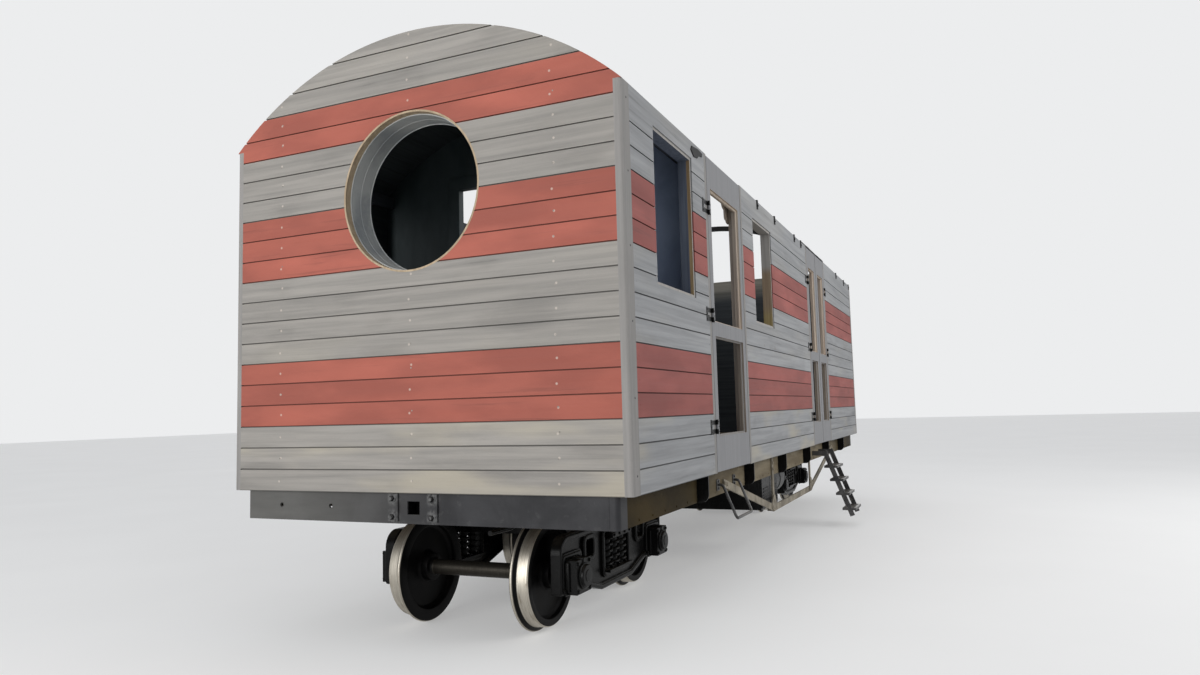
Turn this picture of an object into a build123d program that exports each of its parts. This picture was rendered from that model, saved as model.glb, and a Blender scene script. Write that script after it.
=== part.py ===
from build123d import *
from math import atan2, degrees, hypot
import os

# Narrow gauge bogie passenger coach, in millimetres.
# X runs across the coach, Y along it with the round opening facing -Y, Z up.
# The origin is on the floor under the middle of the coach, at the level of the wheel flanges.

# Body shell
body_length = 7940.0
body_width = 2440.0
sill_height = 813.0
side_height = 1955.0
arch_rise = 485.0
side_wall = 80.0
end_wall = 90.0
post_face = 43.0
post_round = 20.0
plank_pitch = 118.0
plank_gap = 7.0
plank_gap_depth = 9.0
side_plank_lines = 15
floor_thickness = 40.0
cant_rail_width = 60.0
cant_rail_depth = 80.0
partition_from_end = 1270.0
partition_thickness = 30.0
doorway_width = 1040.0
doorway_height = 1900.0
roof_thickness = 40.0
bow_depth = 50.0
bow_width = 40.0
bow_from_rear = 2375.0
rear_wall_rise = 198.0
clip_width = 26.0
clip_drop = 62.0
clip_thickness = 8.0

# Round opening in the front end, its centre measured down from the eaves
porthole_radius = 415.0
porthole_drop = 382.0
lining_wall = 6.0
lining_depth = 161.0
lining_recess = 40.0
rim_width = 10.0

# Window linings
liner_thickness = 16.0
liner_recess = 8.0

# Doorways, measured along the side from the nearer end of the body
single_doorway_from_end = 1355.0
single_doorway_width = 815.0
double_doorway_from_end = 2185.0
double_doorway_width = 1020.0

# Doors, their heights measured up from the sill or down from the eaves
leaf_thickness = 45.0
leaf_top_gap = 8.0
leaf_bottom_gap = 6.0
hinge_edge_gap = 6.0
free_edge_gap = 9.0
meeting_gap = 14.0
stop_gap = 5.0
frame_face = 42.0
stop_cover = 28.0
frame_head = 70.0
threshold = 40.0
leaf_kick = 220.0
leaf_lower_window = 610.0
leaf_middle_rail = 90.0
leaf_head_rail = 200.0

# Hinges
lower_hinge_rise = 277.0
middle_hinge_rise = 952.0
upper_hinge_drop = 338.0
hinge_pin_radius = 8.0
hinge_stand = 9.0
hinge_plate = 3.0
hinge_plate_height = 86.0
hinge_plate_width = 24.0
hinge_knuckle = 26.0
hinge_knuckle_gap = 0.3
hinge_tongue_bite = 4.0
fixed_strap_reach = 85.0
leaf_strap_reach = 40.0

# Underframe
frame_depth = 157.0
frame_inset = 82.0
solebar_flange = 70.0
frame_steel = 12.0
headstock_recess = 20.0
headstock_length = 100.0
headstock_round = 25.0
stud_spacing_x = 244.0
stud_spacing_z = 94.0
stud_rise = 4.5
stud_radius = 10.0
stud_hole_radius = 11.0
stud_pad_width = 62.0
stud_pad_height = 140.0
stud_pad_thickness = 12.0
stud_length = 23.0
draw_hole_width = 76.0
draw_hole_height = 67.0
draw_hole_rise = 2.5
side_hole_radius = 12.0
side_hole_xs = (-885.0, -539.0)
beam_depth = 120.0
beam_width = 80.0
beam_web = 10.0
beam_flange = 12.0
centre_sill_x = 250.0
cross_beam_count = 4
cross_beam_from_bogie = 1010.0
outrigger_from_bogie = 100.0
outrigger_inset = 10.0
outrigger_plate = 10.0
outrigger_round = 50.0

# Truss under each solebar, its heights measured down from the sill
truss_foot_from_bogie = 435.0
queen_post_from_beam = 260.0
truss_foot_drop = 91.0
truss_chord_drop = 415.0
truss_bar = 50.0
truss_plate = 12.0
truss_ledge = 46.0
truss_ledge_thickness = 8.0

# Equipment between the bogies
battery_width = 680.0
battery_length = 600.0
battery_depth = 320.0
battery_inset = 98.0
battery_shift = 65.0
reservoir_radius = 150.0
reservoir_length = 900.0
reservoir_inset = 418.0
reservoir_drop = 45.0
reservoir_saddle = 80.0
brake_cylinder_radius = 115.0
brake_cylinder_length = 420.0
brake_cylinder_drop = 268.0
brake_rod_radius = 12.0
brake_plate = 14.0
brake_hanger = 40.0

# Steps, their heights measured down from the sill
step_iron_shift = 265.0
step_iron_width = 380.0
step_iron_top_drop = 93.0
step_iron_foot_drop = 298.0
step_iron_foot_stand = 37.0
step_iron_radius = 9.0
step_iron_stand = 36.0
step_iron_bend = 24.0
ladder_shift = -45.0
ladder_width = 380.0
ladder_top_stand = 40.0
ladder_top_drop = 70.0
ladder_foot_stand = 280.0
ladder_foot_drop = 700.0
ladder_rail = 45.0
ladder_plate = 12.0
ladder_arm = 45.0
tread_depth = 130.0
tread_thickness = 22.0
tread_drops = (215.0, 345.0, 480.0, 625.0)

# Wheelsets
tread_radius = 287.0
flange_height = 26.0
flange_thickness = 30.0
flange_round = 8.0
tread_taper = 3.0
tread_edge = 7.0
wheel_back = 350.0
wheel_width = 101.0
rim_thickness = 46.0
web_thickness = 24.0
hub_radius = 80.0
hub_back_stand = 15.0
hub_face_stand = 14.0
axle_radius = 43.0
journal_radius = 38.0

# Bogies, their heights measured from the axles
bogie_from_end = 1295.0
wheelbase = 1250.0
side_frame_x = 547.0
side_frame_thickness = 54.0
side_frame_web = 26.0
side_frame_rim = 34.0
side_frame_rise = 220.0
side_frame_drop = 158.0
chord_depth = 60.0
end_horn = 60.0
horn_round = 95.0
foot_round = 12.0
inner_horn = 60.0
inner_horn_round = 60.0
belly_half_length = 235.0
belly_round = 90.0
jaw_foot_drop = 88.0
spring_window = 180.0
spring_window_lip = 12.0
spring_column = 165.0
arch_leg = 90.0
hole_rise = 62.0
hole_round = 22.0
spring_seat_drop = 56.0
spring_seat_thickness = 14.0
spring_seat_width = 124.0
spring_top_rise = 132.0
spring_radius = 45.0
spring_wire = 16.0
spring_turns = 5
spring_pitch = 105.0
bolster_half_length = 150.0
bolster_gap = 37.0
centre_plate_radius = 140.0
centre_pin_radius = 30.0
centre_pin_length = 90.0
body_bolster_drop = 206.0
body_bolster_plate = 40.0
axlebox_size = 180.0
axlebox_inner_stand = 35.0
axlebox_outer_stand = 98.0
axlebox_cap_radius = 60.0
axlebox_cap = 20.0
journal_end_stand = 80.0
journal_end_gap = 4.0

# Clearances
seat = 0.3
run = 0.3
over = 1.0

half_length = body_length / 2
half_width = body_width / 2
eaves = sill_height + side_height
apex = eaves + arch_rise
arch_radius = (half_width ** 2 + arch_rise ** 2) / (2 * arch_rise)
arch_centre_z = apex - arch_radius
inner_x = half_width - side_wall
inner_y = half_length - end_wall
floor_top = sill_height + floor_thickness
porthole_height = eaves - porthole_drop
partition_front_y = partition_from_end - half_length
partition_rear_y = partition_front_y + partition_thickness

frame_half_width = half_width - frame_inset
frame_bottom = sill_height - frame_depth
frame_middle_z = sill_height - frame_depth / 2
frame_end = half_length - headstock_recess
frame_inner_x = frame_half_width - solebar_flange - seat
beam_bottom = sill_height - beam_depth

bogie_centre_y = half_length - bogie_from_end
axle_z = tread_radius + flange_height
body_bolster_bottom = sill_height - body_bolster_drop
bolster_top = body_bolster_bottom - bolster_gap
side_frame_top = axle_z + side_frame_rise
shoulder_z = side_frame_top - chord_depth
spring_seat_z = axle_z - spring_seat_drop
spring_top_z = axle_z + spring_top_rise
journal_end = side_frame_x + journal_end_stand
spring_ys = (-spring_pitch, 0.0, spring_pitch)

truss_foot_y = bogie_centre_y - truss_foot_from_bogie
truss_chord_z = sill_height - truss_chord_drop
last_cross_beam_y = bogie_centre_y - cross_beam_from_bogie
cross_beam_ys = [
    last_cross_beam_y * (2 * number / (cross_beam_count - 1) - 1) for number in range(cross_beam_count)
]
queen_post_y = cross_beam_ys[cross_beam_count // 2] + queen_post_from_beam
last_outrigger_y = bogie_centre_y + outrigger_from_bogie
outrigger_ys = [-last_outrigger_y] + cross_beam_ys + [last_outrigger_y]

sides = (("right", 1), ("left", -1))
ends = (("front", -bogie_centre_y), ("rear", bogie_centre_y))

# Side panels. Columns: name, low Y, high Y.
single_doorway = (
    single_doorway_from_end - half_length,
    single_doorway_from_end + single_doorway_width - half_length,
)
double_doorway = (
    half_length - double_doorway_from_end - double_doorway_width,
    half_length - double_doorway_from_end,
)
side_panels = (
    ("front", -inner_y, single_doorway[0] - frame_face),
    ("middle", single_doorway[1] + frame_face, double_doorway[0] - frame_face),
    ("rear", double_doorway[1] + frame_face, inner_y),
)

# Windows in the side panels. Columns: distance from the front end of the body, width, height of the
# lower edge above the sill, distance of the upper edge below the eaves.
side_windows = (
    (415.0, 645.0, 1023.0, 105.0),
    (2525.0, 610.0, 1008.0, 161.0),
)

# Clips of the lost roof bows on the top edge of each side. Columns: end of the body that the distance
# is measured from, distance.
roof_clip_places = (
    (-1, 2700.0),
    (-1, 3310.0),
    (1, 3790.0),
    (1, 3470.0),
    (1, 1220.0),
    (1, 570.0),
    (1, 120.0),
)

# Door leaves. Columns: name, hinge edge Y, free edge Y, gap at the free edge, window stile at the
# hinge edge, window stile at the free edge.
double_middle = sum(double_doorway) / 2
leaves = (
    ("single", single_doorway[0], single_doorway[1], free_edge_gap, 75.0, 75.0),
    ("double_front", double_doorway[0], double_middle, meeting_gap / 2, 85.0, 105.0),
    ("double_rear", double_doorway[1], double_middle, meeting_gap / 2, 85.0, 105.0),
)
# Windows of every leaf. Columns: low Z, high Z.
leaf_lower_window_top = sill_height + leaf_kick + leaf_lower_window
leaf_windows = (
    (sill_height + leaf_kick, leaf_lower_window_top),
    (leaf_lower_window_top + leaf_middle_rail, eaves - leaf_head_rail),
)
hinge_heights = (
    sill_height + lower_hinge_rise,
    sill_height + middle_hinge_rise,
    eaves - upper_hinge_drop,
)


def block(x_range, y_range, z_range):
    """A box from its ranges along X, Y and Z."""
    size = [high - low for low, high in (x_range, y_range, z_range)]
    middle = [(low + high) / 2 for low, high in (x_range, y_range, z_range)]
    return Pos(*middle) * Box(*size)


def about(middle, half):
    """The range that reaches equally far to both sides of its middle."""
    return (middle - half, middle + half)


def rod(start, end, radius):
    """A round bar between two points."""
    axis = Vector(*end) - Vector(*start)
    plane = Plane(origin=start, z_dir=axis)
    return plane * Cylinder(radius, axis.length, align=(Align.CENTER, Align.CENTER, Align.MIN))


def union(pieces):
    """All pieces fused."""
    pieces = list(pieces)
    return pieces[0].fuse(*pieces[1:]) if len(pieces) > 1 else pieces[0]


def mirrored(piece, side):
    """The piece as modelled on the right, or its mirror image on the left."""
    return piece if side > 0 else piece.mirror(Plane.YZ)


def both_sides(piece):
    """The right piece and its mirror image."""
    return [mirrored(piece, side) for _, side in sides]


def other_end(piece):
    """The piece turned half round, to the other end of the coach."""
    return piece.rotate(Axis.Z, 180)


def extruded_yz(points, x_range):
    """A plate from its outline in Y and Z, between two X."""
    outline = Plane.YZ * make_face(Polyline(*points, close=True))
    return Pos(x_range[0], 0, 0) * extrude(outline, amount=x_range[1] - x_range[0])


def bar_yz(start, end, width, x_range):
    """A flat bar between two points in Y and Z, with square ends."""
    dy = end[0] - start[0]
    dz = end[1] - start[1]
    bar = Box(x_range[1] - x_range[0], hypot(dy, dz), width)
    turned = Rot(degrees(atan2(dz, dy)), 0, 0) * bar
    return Pos(sum(x_range) / 2, (start[0] + end[0]) / 2, (start[1] + end[1]) / 2) * turned


def arch_solid(radius, y_range, half_chord, low_z):
    """The space under the roof's arch down to a level, between two Y."""
    place = Pos(0, sum(y_range) / 2, arch_centre_z) * Rot(90, 0, 0)
    cylinder = place * Cylinder(radius, y_range[1] - y_range[0])
    return cylinder & block((-half_chord, half_chord), y_range, (low_z, apex + over))


def arch_strip(thickness, y_range):
    """A strip that follows the arch from eaves to eaves."""
    outer = arch_solid(arch_radius, y_range, half_width, eaves)
    return outer - arch_solid(arch_radius - thickness, y_range, half_width, eaves - over)


def plank_lines(count):
    """The height ranges of the gaps between planks, from the bottom up."""
    return [about(sill_height + (number + 1) * plank_pitch, plank_gap / 2) for number in range(count)]


def i_section(middle, place):
    """The web and flanges of a rolled beam under the floor.

    The function place turns a range across the beam and a range in height into a block.
    """
    return union((
        place(about(middle, beam_web / 2), (beam_bottom, sill_height)),
        place(about(middle, beam_width / 2), (beam_bottom, beam_bottom + beam_flange)),
        place(about(middle, beam_width / 2), (sill_height - beam_flange, sill_height)),
    ))


def beam_along_y(x, y_range):
    """A rolled beam along the coach."""
    return i_section(x, lambda across, height: block(across, y_range, height))


def beam_along_x(y, x_range):
    """A rolled beam across the coach."""
    return i_section(y, lambda across, height: block(x_range, across, height))


def floor():
    """The deck on the underframe, inside the walls."""
    return block(about(0, inner_x - seat), about(0, inner_y - seat), (sill_height, floor_top))


def window_ranges(from_end, width, rise, drop):
    """A side window's ranges along Y and Z."""
    return (from_end - half_length, from_end - half_length + width), (sill_height + rise, eaves - drop)


def side_panel(y_range):
    """A planked wall panel of the right side, with its window cut."""
    panel = block((inner_x, half_width), y_range, (sill_height, eaves))
    cut_y = (y_range[0] - over, y_range[1] + over)
    for gap_z in plank_lines(side_plank_lines):
        panel -= block((half_width - plank_gap_depth, half_width + over), cut_y, gap_z)
    for window in side_windows:
        window_y, window_z = window_ranges(*window)
        if y_range[0] < window_y[0] < y_range[1]:
            panel -= block((inner_x - over, half_width + over), window_y, window_z)
    return panel


def window_liner(window):
    """The wooden lining inside a side window of the right side."""
    (low_y, high_y), (low_z, high_z) = window_ranges(*window)
    x_range = (inner_x, half_width - liner_recess)
    outer = block(x_range, (low_y + seat, high_y - seat), (low_z + seat, high_z - seat))
    inner = block(
        (x_range[0] - over, x_range[1] + over),
        (low_y + liner_thickness, high_y - liner_thickness),
        (low_z + liner_thickness, high_z - liner_thickness),
    )
    return outer - inner


def corner_post():
    """The front right corner post, with its outer edge rounded."""
    post = block((half_width - post_face, half_width), (-half_length, -inner_y), (sill_height, eaves))
    upright = post.edges().filter_by(Axis.Z)
    return fillet(upright.sort_by(lambda edge: edge.center().X - edge.center().Y)[-1], post_round)


def end_panel():
    """An end wall at the front without its round opening, planked to the apex."""
    y_range = (-half_length, -inner_y)
    wall = block(about(0, half_width - post_face), y_range, (sill_height, eaves))
    wall += arch_solid(arch_radius, y_range, half_width, eaves)
    for gap_z in plank_lines(int((apex - sill_height) / plank_pitch)):
        gap_y = (-half_length - over, -half_length + plank_gap_depth)
        wall -= block(about(0, half_width + over), gap_y, gap_z)
    return wall


def porthole_ring(inner, outer, y_range):
    """A ring round the axis of the round opening."""
    length = y_range[1] - y_range[0]
    place = Pos(0, sum(y_range) / 2, porthole_height) * Rot(90, 0, 0)
    return place * Cylinder(outer, length) - place * Cylinder(inner, length + 2 * over)


rim_inner = porthole_radius + lining_wall + seat
rim_outer = rim_inner + rim_width


def end_wall_front():
    """The front end wall with its round opening."""
    cut = Pos(0, -half_length + end_wall / 2, porthole_height) * Rot(90, 0, 0)
    return end_panel() - cut * Cylinder(rim_outer + seat, end_wall + 2 * over)


def end_wall_rear():
    """The plain rear end wall, which has lost its top boards."""
    lost_y = (-half_length - over, -inner_y + over)
    lost = block(about(0, half_width), lost_y, (eaves + rear_wall_rise, apex + over))
    return other_end(end_panel() - lost)


def porthole_lining():
    """The steel tube that lines the round opening."""
    start = -half_length + lining_recess
    return porthole_ring(porthole_radius, porthole_radius + lining_wall, (start, start + lining_depth))


def porthole_rim():
    """The wooden ring between the tube and the planks."""
    return porthole_ring(rim_inner, rim_outer, (-half_length, -inner_y))


def cant_rail():
    """The rail along the top of the right side, inside the panels."""
    outer_x = inner_x - seat
    x_range = (outer_x - cant_rail_width, outer_x)
    return block(x_range, about(0, inner_y - seat), (eaves - cant_rail_depth, eaves))


def partition():
    """The cross wall behind the front compartment, with its doorway."""
    y_range = (partition_front_y, partition_rear_y)
    top = eaves - cant_rail_depth - seat
    wall = block(about(0, inner_x - seat), y_range, (floor_top + seat, top))
    rail_inner = inner_x - 2 * seat - cant_rail_width
    wall += arch_solid(arch_radius - roof_thickness - seat, y_range, rail_inner, top - seat)
    doorway_y = (y_range[0] - over, y_range[1] + over)
    doorway_z = (floor_top - over, floor_top + doorway_height)
    return wall - block(about(0, doorway_width / 2), doorway_y, doorway_z)


def roof_front():
    """The roof over the front compartment."""
    return arch_strip(roof_thickness, (-inner_y + seat, partition_rear_y))


def roof_bow():
    """The one bow that is left of the saloon roof."""
    return arch_strip(bow_depth, about(half_length - bow_from_rear, bow_width / 2))


def roof_clips():
    """The clips of the lost bows, on the top edges of the right side's panels."""
    outer_x = half_width + clip_thickness
    half = clip_width / 2
    clips = []
    for end, distance in roof_clip_places:
        y = end * (half_length - distance)
        if any(low + half < y < high - half for _, low, high in side_panels):
            clip = block((half_width, outer_x), about(y, half), (eaves - clip_drop, eaves))
            clip += block((half_width - clip_width, outer_x), about(y, half), (eaves, eaves + clip_thickness))
            clips.append(clip)
    return clips


def door_frame(doorway):
    """The frame of a doorway in the right side: two rebated posts, head and threshold."""
    low, high = doorway
    outer_y = (low - frame_face + seat, high + frame_face - seat)
    outer = block((inner_x, half_width), outer_y, (sill_height, eaves))
    passage = block(
        (inner_x - over, half_width + over),
        (low + stop_cover, high - stop_cover),
        (sill_height + threshold, eaves - frame_head),
    )
    rebate_x = (half_width - leaf_thickness - stop_gap, half_width + over)
    return outer - passage - block(rebate_x, doorway, (sill_height - over, eaves + over))


def inward(hinge_y, free_y):
    """The way along Y from a leaf's hinge edge to its free edge."""
    return 1 if free_y > hinge_y else -1


def leaf_shape(hinge_y, free_y, free_gap, hinge_stile, free_stile):
    """The wooden leaf of a door in the right side."""
    way = inward(hinge_y, free_y)
    x_range = (half_width - leaf_thickness, half_width)
    y_range = sorted((hinge_y + way * hinge_edge_gap, free_y - way * free_gap))
    leaf = block(x_range, y_range, (sill_height + leaf_bottom_gap, eaves - leaf_top_gap))
    window_y = sorted((hinge_y + way * hinge_stile, free_y - way * free_stile))
    for window_z in leaf_windows:
        leaf -= block((x_range[0] - over, x_range[1] + over), window_y, window_z)
    return leaf


def hinge_part(hinge_y, free_y, moving):
    """The parts of a leaf's hinges that turn with it, or those that stay on the side."""
    way = inward(hinge_y, free_y)
    axis_x = half_width + hinge_stand
    axis_y = hinge_y + way * hinge_edge_gap / 2
    outward = way if moving else -way
    reach = leaf_strap_reach if moving else fixed_strap_reach
    strap_y = sorted((axis_y + outward * (hinge_edge_gap / 2 + over), axis_y + outward * reach))
    tongue_y = sorted((axis_y, axis_y + outward * (hinge_edge_gap / 2 + hinge_tongue_bite)))
    plate_y = sorted((axis_y + outward * reach, axis_y + outward * (reach + hinge_plate_width)))
    strap_x = (half_width, half_width + hinge_plate)
    tongue_x = (half_width + over, half_width + over + hinge_plate)
    pieces = []
    for height in hinge_heights:
        halves = [block(strap_x, plate_y, about(height, hinge_plate_height / 2))]
        for level in (0,) if moving else (-1, 1):
            z = height + level * (hinge_knuckle + hinge_knuckle_gap)
            z_range = about(z, hinge_knuckle / 2)
            halves.append(Pos(axis_x, axis_y, z) * Cylinder(hinge_pin_radius, hinge_knuckle))
            halves.append(block(strap_x, strap_y, z_range))
            halves.append(block(tongue_x, tongue_y, z_range))
        pieces.append(union(halves))
    return pieces


def between_headstocks():
    """The range along Y that the longitudinal members fill."""
    return about(0, frame_end - headstock_length - seat)


def solebar():
    """The right solebar, a channel with its web outside."""
    y_range = between_headstocks()
    flange_x = (frame_half_width - solebar_flange, frame_half_width)
    return union((
        block((frame_half_width - frame_steel, frame_half_width), y_range, (frame_bottom, sill_height)),
        block(flange_x, y_range, (frame_bottom, frame_bottom + frame_steel)),
        block(flange_x, y_range, (sill_height - frame_steel, sill_height)),
    ))


def headstock(studs):
    """The front headstock, a boxed channel with rounded corners, holes and coupling pads.

    The pads carry four studs, or are drilled for them.
    """
    back = -frame_end + headstock_length
    beam = block(about(0, frame_half_width), (-frame_end, back), (frame_bottom, sill_height))
    corners = beam.edges().filter_by(Axis.Z).sort_by(lambda edge: edge.center().Y)[:2]
    beam = fillet(corners, headstock_round)
    beam -= block(
        about(0, frame_half_width - frame_steel),
        (-frame_end + frame_steel, back + over),
        (frame_bottom + frame_steel, sill_height - frame_steel),
    )
    plate_back = -frame_end + frame_steel + over
    draw_z = frame_middle_z + draw_hole_rise
    beam -= block(
        about(0, draw_hole_width / 2), (-frame_end - over, plate_back), about(draw_z, draw_hole_height / 2)
    )
    for x in side_hole_xs:
        beam -= rod((x, -frame_end - over, draw_z), (x, plate_back, draw_z), side_hole_radius)
    pad_face = -frame_end - stud_pad_thickness
    pad_z = frame_middle_z + stud_rise
    for x in about(0, stud_spacing_x / 2):
        pad_x = about(x, stud_pad_width / 2)
        beam += block(pad_x, (pad_face, -frame_end), about(pad_z, stud_pad_height / 2))
        for z in about(pad_z, stud_spacing_z / 2):
            if studs:
                beam += rod((x, -frame_end, z), (x, pad_face - stud_length, z), stud_radius)
            else:
                beam -= rod((x, pad_face - over, z), (x, plate_back, z), stud_hole_radius)
    return beam


def cross_beam(y):
    """A cross beam in three lengths, between the solebars and the centre sills."""
    gap = centre_sill_x - beam_width / 2 - seat
    outer_x = (centre_sill_x + beam_width / 2 + seat, frame_inner_x)
    return [beam_along_x(y, about(0, gap))] + both_sides(beam_along_x(y, outer_x))


def body_bolster(y):
    """The box girder over a bogie, notched for the centre sills, with its centre plate and pin."""
    low_z = body_bolster_bottom + body_bolster_plate
    girder = block(about(0, frame_inner_x), about(y, bolster_half_length), (low_z, sill_height))
    notch = block(
        about(centre_sill_x, beam_width / 2 + seat),
        about(y, bolster_half_length + over),
        (beam_bottom - seat, sill_height + over),
    )
    for piece in both_sides(notch):
        girder -= piece
    plate = rod((0, y, body_bolster_bottom), (0, y, low_z + over), centre_plate_radius)
    pin = rod((0, y, body_bolster_bottom - centre_pin_length), (0, y, low_z + over), centre_pin_radius)
    return union((girder, plate, pin))


def outrigger(y):
    """A plate that carries the right side wall outside the solebar."""
    x_range = (frame_half_width + seat, half_width - outrigger_inset)
    plate = block(x_range, about(y, outrigger_plate / 2), (frame_bottom, sill_height - seat))
    edges = plate.edges().filter_by(Axis.Y)
    return fillet(edges.sort_by(lambda edge: edge.center().X - edge.center().Z)[-1], outrigger_round)


def truss():
    """The truss under the right solebar: chord, sloping ends and queen posts."""
    x_range = (frame_half_width + seat, frame_half_width + seat + truss_plate)
    half_bar = truss_bar / 2
    chord_y = about(0, queen_post_y + half_bar)
    ledge_z = truss_chord_z - half_bar
    pieces = [
        block(x_range, chord_y, about(truss_chord_z, half_bar)),
        block(
            (x_range[0] - truss_ledge, x_range[1]),
            about(0, queen_post_y),
            (ledge_z, ledge_z + truss_ledge_thickness),
        ),
    ]
    for end in (-1, 1):
        foot = (end * truss_foot_y, sill_height - truss_foot_drop)
        pieces.append(bar_yz((end * queen_post_y, truss_chord_z), foot, truss_bar, x_range))
        post_y = about(end * queen_post_y, half_bar)
        pieces.append(block(x_range, post_y, (truss_chord_z, sill_height - seat)))
    return union(pieces)


def battery_box():
    """The battery box on the right, hung under the second cross beam."""
    outer_x = frame_half_width - battery_inset
    top = beam_bottom - seat
    y_range = about(cross_beam_ys[1] + battery_shift, battery_length / 2)
    return block((outer_x - battery_width, outer_x), y_range, (top - battery_depth, top))


def reservoir():
    """The air reservoir on the right, hung under the third cross beam by its saddle."""
    x = frame_half_width - reservoir_inset
    y = cross_beam_ys[2]
    top = beam_bottom - seat
    axis_z = top - reservoir_drop - reservoir_radius
    low_y, high_y = about(y, reservoir_length / 2)
    tank = rod((x, low_y, axis_z), (x, high_y, axis_z), reservoir_radius)
    tank = fillet(tank.edges().filter_by(GeomType.CIRCLE), reservoir_radius / 3)
    saddle = block(about(x, reservoir_saddle), about(y, brake_hanger / 2), (axis_z, top))
    return tank.fuse(saddle)


def brake_gear():
    """The brake cylinder under the centre sills, with its rods and hangers."""
    top = beam_bottom - seat
    z = sill_height - brake_cylinder_drop
    half = brake_cylinder_length / 2
    plate_x = about(0, centre_sill_x + beam_width / 2)
    rod_ends = (cross_beam_ys[0], cross_beam_ys[-1])
    pieces = [
        rod((0, -half, z), (0, half, z), brake_cylinder_radius),
        block(plate_x, about(0, half / 2), (top - brake_plate, top)),
        block(about(0, brake_hanger), about(0, half / 2), (z, top)),
        rod((0, rod_ends[0], z), (0, rod_ends[1], z), brake_rod_radius),
    ]
    hanger_z = (z - brake_hanger / 2, top)
    for y in rod_ends:
        pieces.append(block(about(0, brake_hanger / 2), about(y, brake_plate / 2), hanger_z))
    return union(pieces)


def step_iron():
    """The bent rod step below the single door on the right."""
    top = (frame_half_width + seat, sill_height - step_iron_top_drop)
    bend = (top[0] + step_iron_stand, top[1])
    foot = (half_width + step_iron_foot_stand, sill_height - step_iron_foot_drop)
    low_y = single_doorway[0] + step_iron_shift
    near_leg = [(x, low_y, z) for x, z in (top, bend, foot)]
    far_leg = [(x, low_y + step_iron_width, z) for x, z in (foot, bend, top)]
    path = FilletPolyline(*near_leg, *far_leg, radius=step_iron_bend)
    section = Plane(origin=path @ 0, z_dir=path % 0) * Circle(step_iron_radius)
    return sweep(section, path=path)


def step_ladder():
    """The step ladder below the double door on the right, with its arms to the solebar."""
    top = (half_width + ladder_top_stand, sill_height - ladder_top_drop)
    foot = (half_width + ladder_foot_stand, sill_height - ladder_foot_drop)
    dx = foot[0] - top[0]
    dz = foot[1] - top[1]
    y = double_middle + ladder_shift
    pieces = []
    for end in (-1, 1):
        edge = y + end * ladder_width / 2
        y_range = sorted((edge, edge - end * ladder_plate))
        centre = Pos((top[0] + foot[0]) / 2, sum(y_range) / 2, (top[1] + foot[1]) / 2)
        lean = Rot(0, -degrees(atan2(dx, -dz)), 0)
        pieces.append(centre * lean * Box(ladder_rail, ladder_plate, hypot(dx, dz)))
        arm_x = (frame_half_width + seat, top[0] + ladder_rail / 2)
        pieces.append(block(arm_x, y_range, (top[1] - ladder_arm, top[1])))
    for drop in tread_drops:
        z = sill_height - drop
        x = top[0] + dx * (z - top[1]) / dz
        tread_y = about(y, ladder_width / 2)
        pieces.append(block(about(x, tread_depth / 2), tread_y, (z - tread_thickness, z)))
    return union(pieces)


def wheelset():
    """An axle with its two wheels, along X about the origin."""
    wheel_face = wheel_back + wheel_width
    web_middle = wheel_back + wheel_width / 2
    web_back = web_middle - web_thickness / 2
    web_face = web_middle + web_thickness / 2
    hub_back = wheel_back - hub_back_stand
    hub_face = wheel_face + hub_face_stand
    flange_radius = tread_radius + flange_height
    rim_inner_radius = tread_radius - rim_thickness
    flange_front = wheel_back + flange_thickness
    half_profile = (
        (hub_back, axle_radius), (hub_back, hub_radius), (web_back, hub_radius),
        (web_back, rim_inner_radius), (wheel_back, rim_inner_radius),
        (wheel_back, flange_radius - flange_round), (wheel_back + flange_round, flange_radius),
        (wheel_back + 2 * flange_round, flange_radius), (flange_front, tread_radius + flange_round / 4),
        (flange_front + flange_round, tread_radius), (wheel_face - tread_edge, tread_radius - tread_taper),
        (wheel_face, tread_radius - tread_taper - tread_edge), (wheel_face, rim_inner_radius),
        (web_face, rim_inner_radius), (web_face, hub_radius), (hub_face, hub_radius),
        (hub_face, journal_radius), (journal_end, journal_radius), (journal_end, 0),
    )
    left = [(-x, 0, radius) for x, radius in reversed(half_profile)]
    right = [(x, 0, radius) for x, radius in half_profile]
    return revolve(make_face(Polyline(*left, *right, close=True)), Axis.X)


def side_frame_outline():
    """The outline of a side frame in Y and Z: horns over the axleboxes and a low belly under the springs."""
    half_base = wheelbase / 2
    jaw = axlebox_size / 2
    jaw_foot = axle_z - jaw_foot_drop
    # Corners of one half. Columns: Y, Z, radius.
    corners = (
        (belly_half_length, axle_z - side_frame_drop, belly_round),
        (half_base - jaw - inner_horn, jaw_foot, inner_horn_round),
        (half_base + jaw + end_horn, jaw_foot, foot_round),
        (half_base + jaw + end_horn, side_frame_top, horn_round),
    )
    both = [(-y, z, radius) for y, z, radius in reversed(corners)] + list(corners)
    path = FilletPolyline(*[(y, z) for y, z, _ in both], radius=[radius for *_, radius in both], close=True)
    return make_face(path)


def rounded_opening(y_range, z_range):
    """A rectangular opening with rounded corners, in Y and Z."""
    width = y_range[1] - y_range[0]
    height = z_range[1] - z_range[0]
    return Pos(sum(y_range) / 2, sum(z_range) / 2) * RectangleRounded(width, height, hole_round)


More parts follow.
